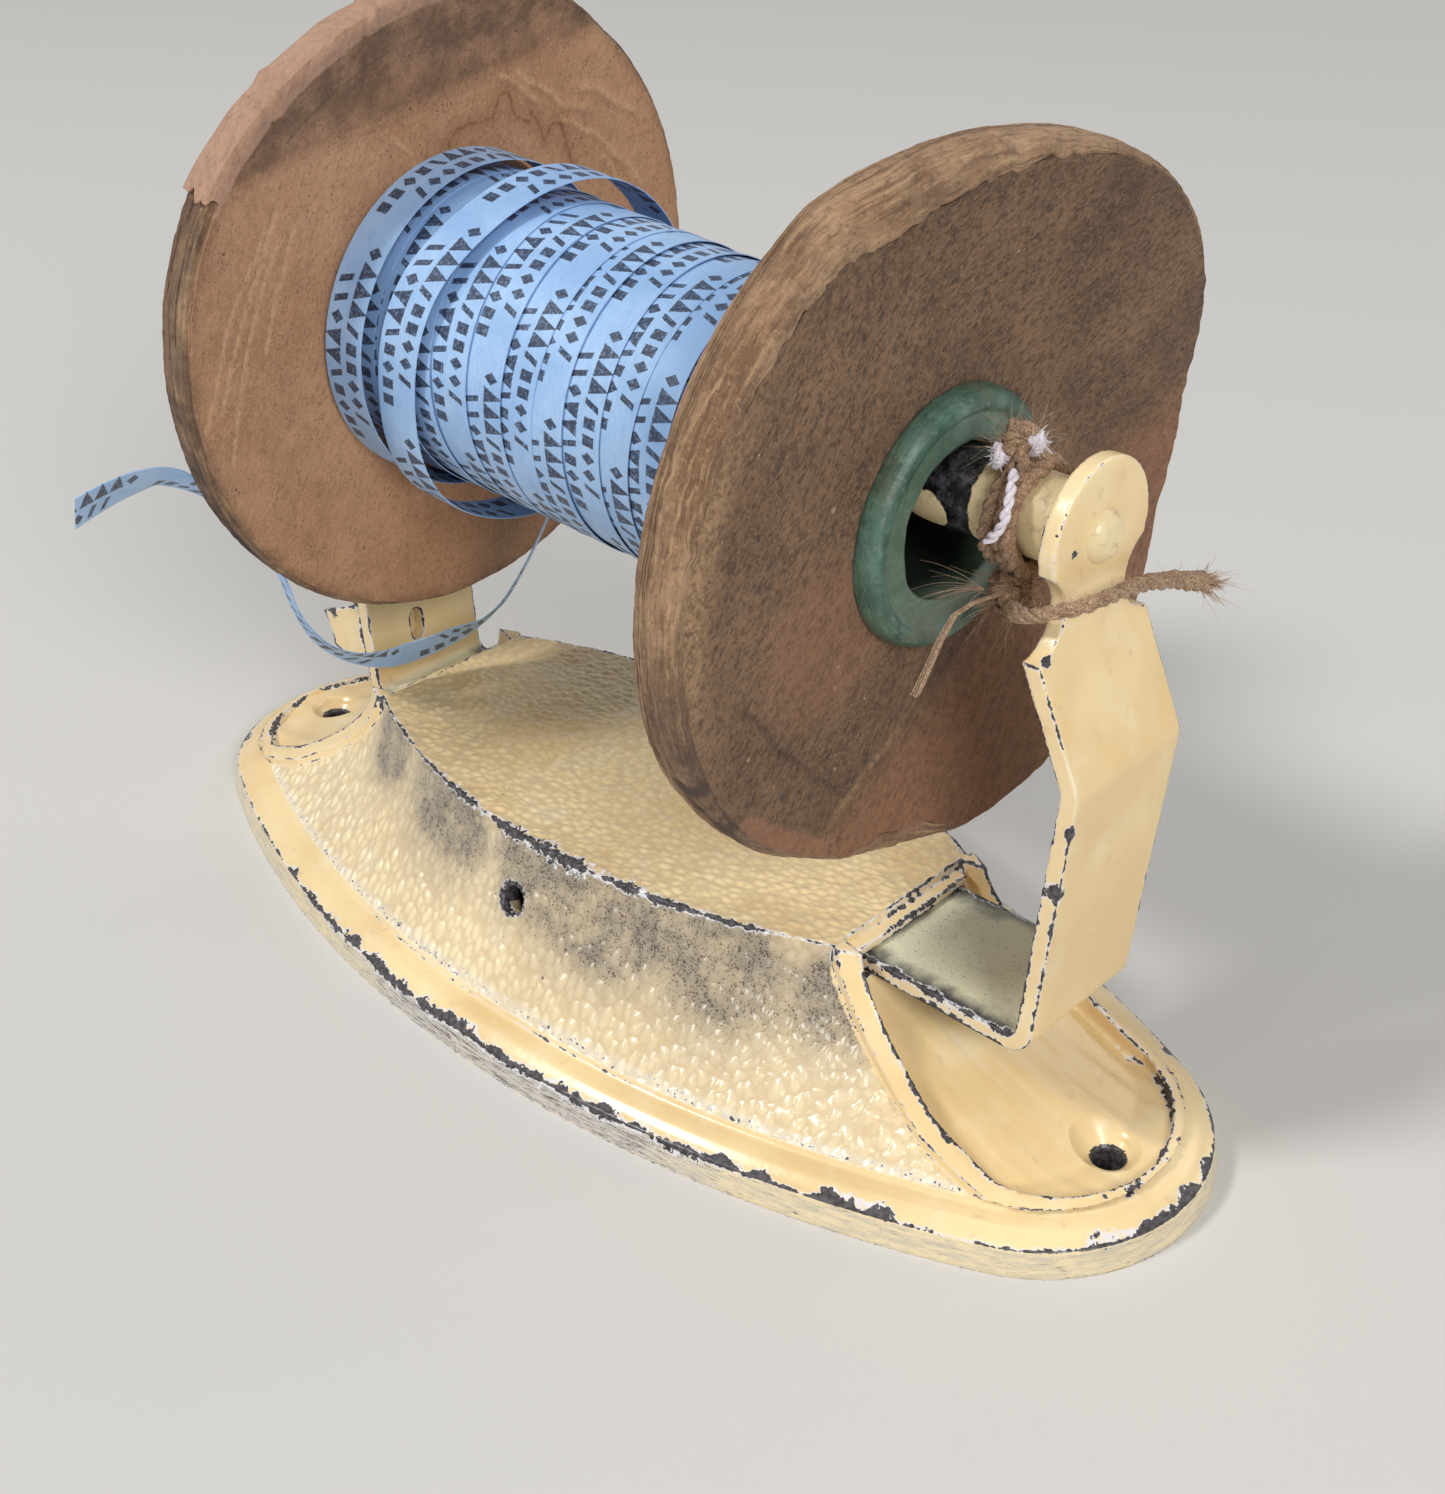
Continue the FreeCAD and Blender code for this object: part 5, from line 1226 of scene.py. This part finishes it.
def right_marks(y, z):
    radius, degrees = polar(y, z)
    beyond = past(y, z, LOW)
    to_edge = by_angle(degrees, TORN_EDGE) - radius
    # Painted shade towards the rim, in a band along the crease and under the torn lip; and a dark line along
    # the crack.
    shade = np.maximum.reduce([
        smoothstep(40, 55, radius) * (0.2 + 0.4 * smoothstep(-0.2, 0.5, broad(y + 40, z))),
        0.6 * smoothstep(17, 24, beyond) * smoothstep(33, 25, beyond),
        0.9 * along_lines(y, z, [CRACK], 1.0),
        smoothstep(1.8, 0.3, to_edge) * angle_bump(degrees, 110, 34)])
    patch = spots(np.stack([y, z, 0 * y], 1) * MM, [(-25, -12, 0, 17)])
    fresh = np.maximum.reduce([
        smoothstep(22.0, 34.0, beyond + 3 * broad(y + 20, z)) * 0.85, smoothstep(0, 0.5, patch) * 0.6,
        smoothstep(0.1, 0.5, along_lines(y, z, [TORN_PATCH], 4.2))])
    # ridge: a pale line on the crease's crest, a painted highlight, and the worn rim's board tan near the
    # torn edge.
    worn_rim = smoothstep(7.0, 0.5, to_edge) * angle_bump(degrees, 172, 46)
    ridge = 0.45 * crease_line(y, z, LOW, 25.6, 0.9) * smoothstep(-0.1, 0.5, broad(y, z + 30))
    return {"shade": shade * (1 - 0.8 * fresh), "fresh": fresh,
            "ridge": np.maximum(ridge, 0.75 * worn_rim), "tide": 20}


def left_marks(y, z):
    radius, degrees = polar(y, z)
    beyond = past(y, z, TOP)
    # Painted shade on the part bent in beyond the crease; darker near the rim and towards the lower left.
    shade = (0.8 * smoothstep(36.4, 40.5, beyond) + 0.2 * smoothstep(43, 47, beyond)
             + 0.5 * smoothstep(54, 57, radius) + 0.3 * smoothstep(10, 50, -y - 0.4 * z))
    # ridge: pale wrinkle crests, a painted highlight, and pale scratch lines.
    lines = np.maximum(along_lines(y, z, WRINKLES, 0.85), along_lines(y, z, SCRATCHES, 0.6))
    wrapped = (radius > 55.5) & (np.abs(degrees - 112) < 38)
    # The wrap keeps a little painted shade, toning it down where the light falls on it.
    return {"shade": np.where(wrapped, 0.15, np.clip(shade, 0, 1)), "fresh": 0.9 * wrapped,
            "ridge": 0.95 * lines * ~wrapped, "tide": np.minimum(20, line_distance(y, z, WATER_EDGE))}


def rough_edge(base, amount, seed):
    return lambda degrees: base + amount * noise_round(degrees, seed, 5.0)


def right_edge(degrees):
    return by_angle(degrees, TORN_EDGE) - 0.1 + 0.3 * noise_round(degrees, 5.0, 16.0)


def make_facings():
    (left_in, left_out), (right_in, right_out) = BOARDS["left"], BOARDS["right"]
    facing("right_outer_kraft", right_out, 1, right_warp, right_edge, "kraft_right", "right_outer_facing",
           right_relief, right_marks)
    facing("right_inner_kraft", right_in, -1, right_warp, rough_edge(KRAFT_RADIUS, 0.4, 2.0), "kraft_left",
           "right_inner_facing", gentle, left_marks)
    facing("left_inner_kraft", left_in, 1, left_warp, rough_edge(KRAFT_RADIUS, 0.4, 3.0), "kraft_left",
           "left_inner_facing", left_relief, left_marks, [kraft_wrap()])
    facing("left_outer_kraft", left_out, -1, left_warp, rough_edge(KRAFT_RADIUS - 0.3, 0.5, 4.0),
           "kraft_right", "left_outer_facing", gentle, right_marks)


# Collars: turned, with a rounded lip. Their section, as (way out of the facing, radius)
COLLAR_SECTION = [(-14.0, 12.5), (2.6, 12.5), (3.1, 12.7), (3.3, 13.2), (3.25, 14.4), (3.1, 15.8),
                  (3.1, 16.7), (3.5, 17.2), (4.0, 17.8), (4.15, 18.5), (3.9, 19.4), (3.1, 20.2),
                  (1.8, 20.6), (0.3, 20.6), (0.0, 20.3), (0.0, 14.45), (-14.0, 14.45)]


def make_collars():
    turn = circle(240)
    dense = resampled(COLLAR_SECTION + COLLAR_SECTION[:1], 3 * len(COLLAR_SECTION) + 1)[:-1]
    for side, way in (("left", -1), ("right", 1)):
        face = BOARDS[side][1] + way * KRAFT_THICK
        rows, hollows = [], []
        for x, radius in dense:
            dent = noise_round(np.degrees(turn), x * 0.2 + way, 2.2, 4)
            shown = radius > 12.6 and x > 0.5
            nibbled = 12.55 < radius < 13.5 and x > 2.5
            rows.append(ring(face + way * x, radius + dent * (0.12 * shown + 0.25 * nibbled), turn))
            # hollow: the flat inside the lip is painted greyer as a sheen, the bore near black as shade.
            hollows.append(np.full(len(turn), 1.0 if x < 2.3 and radius < 13 else 0.5 * (radius < 17.3)))
        make_piece(f"{side}_collar_turned", to_world(rows),
                   grid_faces(len(rows), len(turn), True, flip=way > 0), "spool", "collar", "green",
                   f"{side}_collar", attributes={"hollow": np.array(hollows)}, sharp=50)


# Wound tape
WINDING = [(2.3, 27.5), (22.6, 27.2), (58.5, 26.2), (104.5, 26.6)]
WINDING_MEAN, WOUND_THICK = 27.0, 0.14
STRIP_PITCH, STRIP_COUNT, PRINT_SHIFT = 8.4, 13, 17.3


def winding_radius(x):
    return np.interp(x, *zip(*WINDING))


def helix_band(centre_x, lift, turn, number, shingle):
    """A band of tape round the winding: centre_x and lift are given at each turn angle in radians, and
    shingle is how much its right edge stands above its left one."""
    share = np.linspace(-1, 1, 7)
    x = centre_x[:, None] + share[None, :] * TAPE_WIDTH_MM / 2
    radius = winding_radius(x) + lift[:, None] + shingle * (share[None, :] + 1) / 2
    top, bottom = ring(x, radius, turn[:, None]), ring(x, radius - WOUND_THICK, turn[:, None])
    loop = np.concatenate([top, bottom[:, ::-1]], axis=1)
    return band(loop, share, turn * WINDING_MEAN + number * PRINT_SHIFT)


def band_object(name, bands, replaced):
    points, faces = joined([(points, faces) for points, faces, _, _ in bands])
    attributes = {"along": np.concatenate([band[2] for band in bands]),
                  "across": np.concatenate([band[3] for band in bands])}
    make_piece(name, to_world(points), faces, "spool", "tape", "tape", replaced,
               attributes=attributes, sharp=50)


def make_winding():
    dice = random.Random(7)
    turn = np.linspace(0, 2 * math.pi, 181)
    bands = []
    left, right = 2.4 + TAPE_WIDTH_MM / 2, 104.4 - TAPE_WIDTH_MM / 2
    for number in range(STRIP_COUNT):
        start = left + (right - left) * number / (STRIP_COUNT - 1) - STRIP_PITCH * 0.5
        lean = dice.uniform(0.3, 1.3) * np.sin(turn + dice.uniform(0, 6))
        centre = start + STRIP_PITCH * turn / (2 * math.pi) + lean + dice.uniform(-0.7, 0.7)
        lift = 0.1 * np.sin(turn * 2 + number) + dice.uniform(-0.05, 0.15) - 0.55
        bands.append(helix_band(np.clip(centre, left, right), lift, turn, number, 0.42))
    # The wound tape under the strips that show
    turn = circle(120)
    low, high = WINDING[0][0], WINDING[-1][0]
    x = np.concatenate([[low], np.linspace(low, high, 60), [high]])
    radius = winding_radius(x) - 0.8
    radius[0] = radius[-1] = CORE_RADIUS
    core = ring(x[:, None], radius[:, None], turn)
    along = np.broadcast_to(turn * WINDING_MEAN, core.shape[:2]).ravel()
    bands.append((core.reshape(-1, 3), grid_faces(*core.shape[:2], True).tolist(), along, 0 * along))
    band_object("wound_tape", bands, "tape_winding")


def make_loose_turns():
    """The slack turns at the left end: one hangs down askew, one stands off near the flange."""
    turn = np.linspace(0, 2 * math.pi, 241)
    degrees = np.degrees(turn)
    centre = 22.5 + 4.8 * np.cos(turn - math.radians(50))
    away = 3.3 - 1.9 * np.sin(turn) + 2.2 * angle_bump(degrees, 70, 60) - 2.3 * angle_bump(degrees, 188, 48)
    askew = helix_band(centre, away, turn, 3, 0.1)
    centre = 7.6 + 1.3 * np.cos(turn - math.radians(130))
    away = 1.9 + 1.7 * np.cos(turn - math.radians(165))
    band_object("slack_turns", [askew, helix_band(centre, away, turn, 9, 0.1)], "loose_turn")


# Twine round the right axle
AXLE_HEIGHT, WRAP_START, WRAP_RUN, WRAP_RADIUS, WRAP_TURNS = 114.1, 75.0, 6.0, 7.9, 3
WHITE_STRAND = [(79.0, -5.6, 122.0), (80.3, -8.0, 120.6), (81.0, -9.4, 118.6), (80.9, -10.2, 116.3),
                (80.0, -10.5, 114.4), (78.4, -10.3, 112.9)]
FLAT_STRAND = [(76.6, -5.0, 101.6), (75.1, -7.4, 101.0), (73.6, -10.1, 99.4), (73.5, -13.1, 96.4),
               (73.7, -15.9, 93.0), (73.7, -18.7, 89.6)]
UPPER_KNOT, LOWER_KNOT = (77.6, -2.6, 123.8), (77.9, -2.2, 101.6)


def tangle(middle, reach, loops, radius_mm, seed):
    """Loops of thin rope round a point, as wide as reach gives per axis."""
    dice = random.Random(seed)
    turn = np.linspace(0, 1.8 * math.pi, 60)[:, None]
    parts = []
    for number in range(loops):
        a = toss(dice).normalized()
        b = a.cross(toss(dice)).normalized()
        shift = toss(dice, 0.5)
        size = dice.uniform(0.6, 1.0)
        loop = size * (np.array(a) * np.cos(turn) + np.array(b) * np.sin(turn)) + np.array(shift) * 0.4
        parts += twisted((np.array(middle) + np.array(reach) * loop) * MM, radius_mm, 3, 5.0, seed + number)
    return parts


def fluff(middle, reach, count, length_mm, radius_mm, seed):
    """Fibres that stand out of a small cloud of points round middle."""
    dice = random.Random(seed)
    headings = [toss(dice).normalized() for _ in range(50)]
    anchors = [(np.array(middle) + np.array(heading) * reach) * MM for heading in headings]
    return fibres(anchors, headings, count, length_mm, radius_mm, seed + 1, 0.3, 0.9)


def add_twine(name, material, parts, *replaced):
    make_piece(name, *joined(parts), "right_arm", "jute", material, *replaced)


def make_twine():
    turns = np.linspace(0, 2 * math.pi * WRAP_TURNS, 420)
    x = WRAP_START + WRAP_RUN * turns / turns[-1] + 0.5 * np.sin(turns * 1.3)
    radius = WRAP_RADIUS + 0.35 * np.sin(turns * 0.9)
    off = np.stack([0 * x, radius * np.sin(turns), radius * np.cos(turns)], 1)
    path = (off + np.stack([x, 0 * x, AXLE_HEIGHT + 0 * x], 1)) * MM
    add_twine("twine_turns", "jute", twisted(path, 1.25, seed=2)
              + fibres(path, unit(off), 200, (0.8, 3.0), (0.03, 0.06), 21, 0.2, 1.1), "twine_wraps")
    for name, middle, reach, radius_mm, cloud, seeds in (
            ("upper", UPPER_KNOT, (2.2, 2.2, 4.0), 1.05, (2.4, 2.4, 3.6), (31, 36)),
            ("lower", LOWER_KNOT, (2.4, 2.4, 4.0), 1.1, (2.6, 2.6, 3.8), (44, 46))):
        knot = tangle(middle, reach, 5, radius_mm, seeds[0])
        knot += fluff(middle, cloud, 280, (1.2, 4.5), (0.03, 0.07), seeds[1])
        add_twine(f"twine_{name}_tangle", "jute", knot, f"twine_{name}_knot")

    line = resampled(FLAT_STRAND, 40) * MM
    widening = np.linspace(1, 2.2, len(line))[:, None] * MM
    straws = [tube(line + np.array([0.22 * math.sin(k * 2.1), 0.22 * math.cos(k * 3.3), 0]) * widening,
                   0.16 * MM, 5) for k in range(9)]
    end = Vector((76.0, -6.5, 103.0)) * MM
    straws += fibres([end], [(-1, -0.5, 0)], 16, (6.0, 13.0), (0.03, 0.06), 61, 1.2, 0.55)
    straws += fluff(UPPER_KNOT, (2.6, 2.6, 4.0), 50, (3.0, 7.0), (0.03, 0.05), 62)
    straws += fluff(LOWER_KNOT, (2.8, 2.8, 4.0), 60, (3.0, 9.0), (0.03, 0.05), 64)
    add_twine("twine_fibres", "straw", straws)

    cotton = []
    for number, (middle, size) in enumerate((((76.0, -5.2, 123.4), 1.5), ((79.8, -2.0, 125.8), 1.8))):
        cotton += tangle(middle, (size * 0.6, size * 0.6, size), 4, 0.7, 70 + number)
        cotton += fluff(middle, (size * 0.5,) * 3, 60, (1.0, 2.2), (0.08, 0.16), 75 + number)
    cotton += twisted(resampled(WHITE_STRAND, 50) * MM, 0.75, 2, 4.0, 80)
    add_twine("twine_cotton", "cotton", cotton)


# Surroundings
def make_stage():
    half = 3.0
    points = np.array([(-half, -half, 0), (half, -half, 0), (half, half, 0), (-half, half, 0)])
    floor = add_object("floor", mesh_from("floor", points, [[0, 1, 2, 3]]))
    graph = Graph("floor_paper", roughness=0.9)
    graph.set("Base Color", colour(214, 212, 208))
    floor.data.materials.append(graph.material)


LIGHT_DISTANCE, LIGHT_TARGET = 3.0, Vector((0, 0, 0.08))


def area_light(name, azimuth, elevation, size, power):
    light = bpy.data.lights.new(name, "AREA")
    light.shape = "DISK"
    light.size = size
    light.energy = power
    lamp = add_object(name, light)
    away = direction(azimuth, elevation)
    lamp.location = LIGHT_TARGET + away * LIGHT_DISTANCE
    lamp.rotation_mode = "QUATERNION"
    lamp.rotation_quaternion = away.to_track_quat("Z", "Y")


def make_light():
    world = bpy.data.worlds.new("world")
    world.use_nodes = True
    nodes, links = world.node_tree.nodes, world.node_tree.links
    lighting = nodes["Background"]
    lighting.inputs["Color"].default_value = (1, 1, 1, 1)
    lighting.inputs["Strength"].default_value = 0.22
    # What the eye and a reflection see beyond the floor: a plain pale ground
    seen = nodes.new("ShaderNodeBackground")
    seen.inputs["Color"].default_value = colour(206, 205, 202)
    rays = nodes.new("ShaderNodeLightPath").outputs
    looked = rays["Is Camera Ray"]
    for ray in ("Is Glossy Ray", "Is Transmission Ray"):
        either = nodes.new("ShaderNodeMath")
        either.operation = "MAXIMUM"
        links.new(looked, either.inputs[0])
        links.new(rays[ray], either.inputs[1])
        looked = either.outputs[0]
    mixed = nodes.new("ShaderNodeMixShader")
    for number, socket in enumerate((looked, lighting.outputs[0], seen.outputs[0])):
        links.new(socket, mixed.inputs[number])
    links.new(mixed.outputs[0], nodes["World Output"].inputs["Surface"])
    scene = bpy.context.scene
    scene.world = world
    area_light("key", -28, 46, 0.6, 46)
    area_light("fill", 64, 30, 1.2, 50)
    area_light("top", 20, 84, 1.4, 7)
    area_light("back", 165, 38, 1.6, 9)
    scene.view_settings.view_transform = "Standard"


make_camera()
make_loose_tape()
make_twine_tail()
make_foot()
make_arm("right", RIGHT_ARM_CHIPS, 0.0)
make_arm("left", LEFT_ARM_CHIPS, 25.6)
make_small_metal()
make_board("left", left_warp)
make_board("right", right_warp)
make_facings()
make_collars()
make_winding()
make_loose_turns()
make_twine()
make_stage()
make_light()
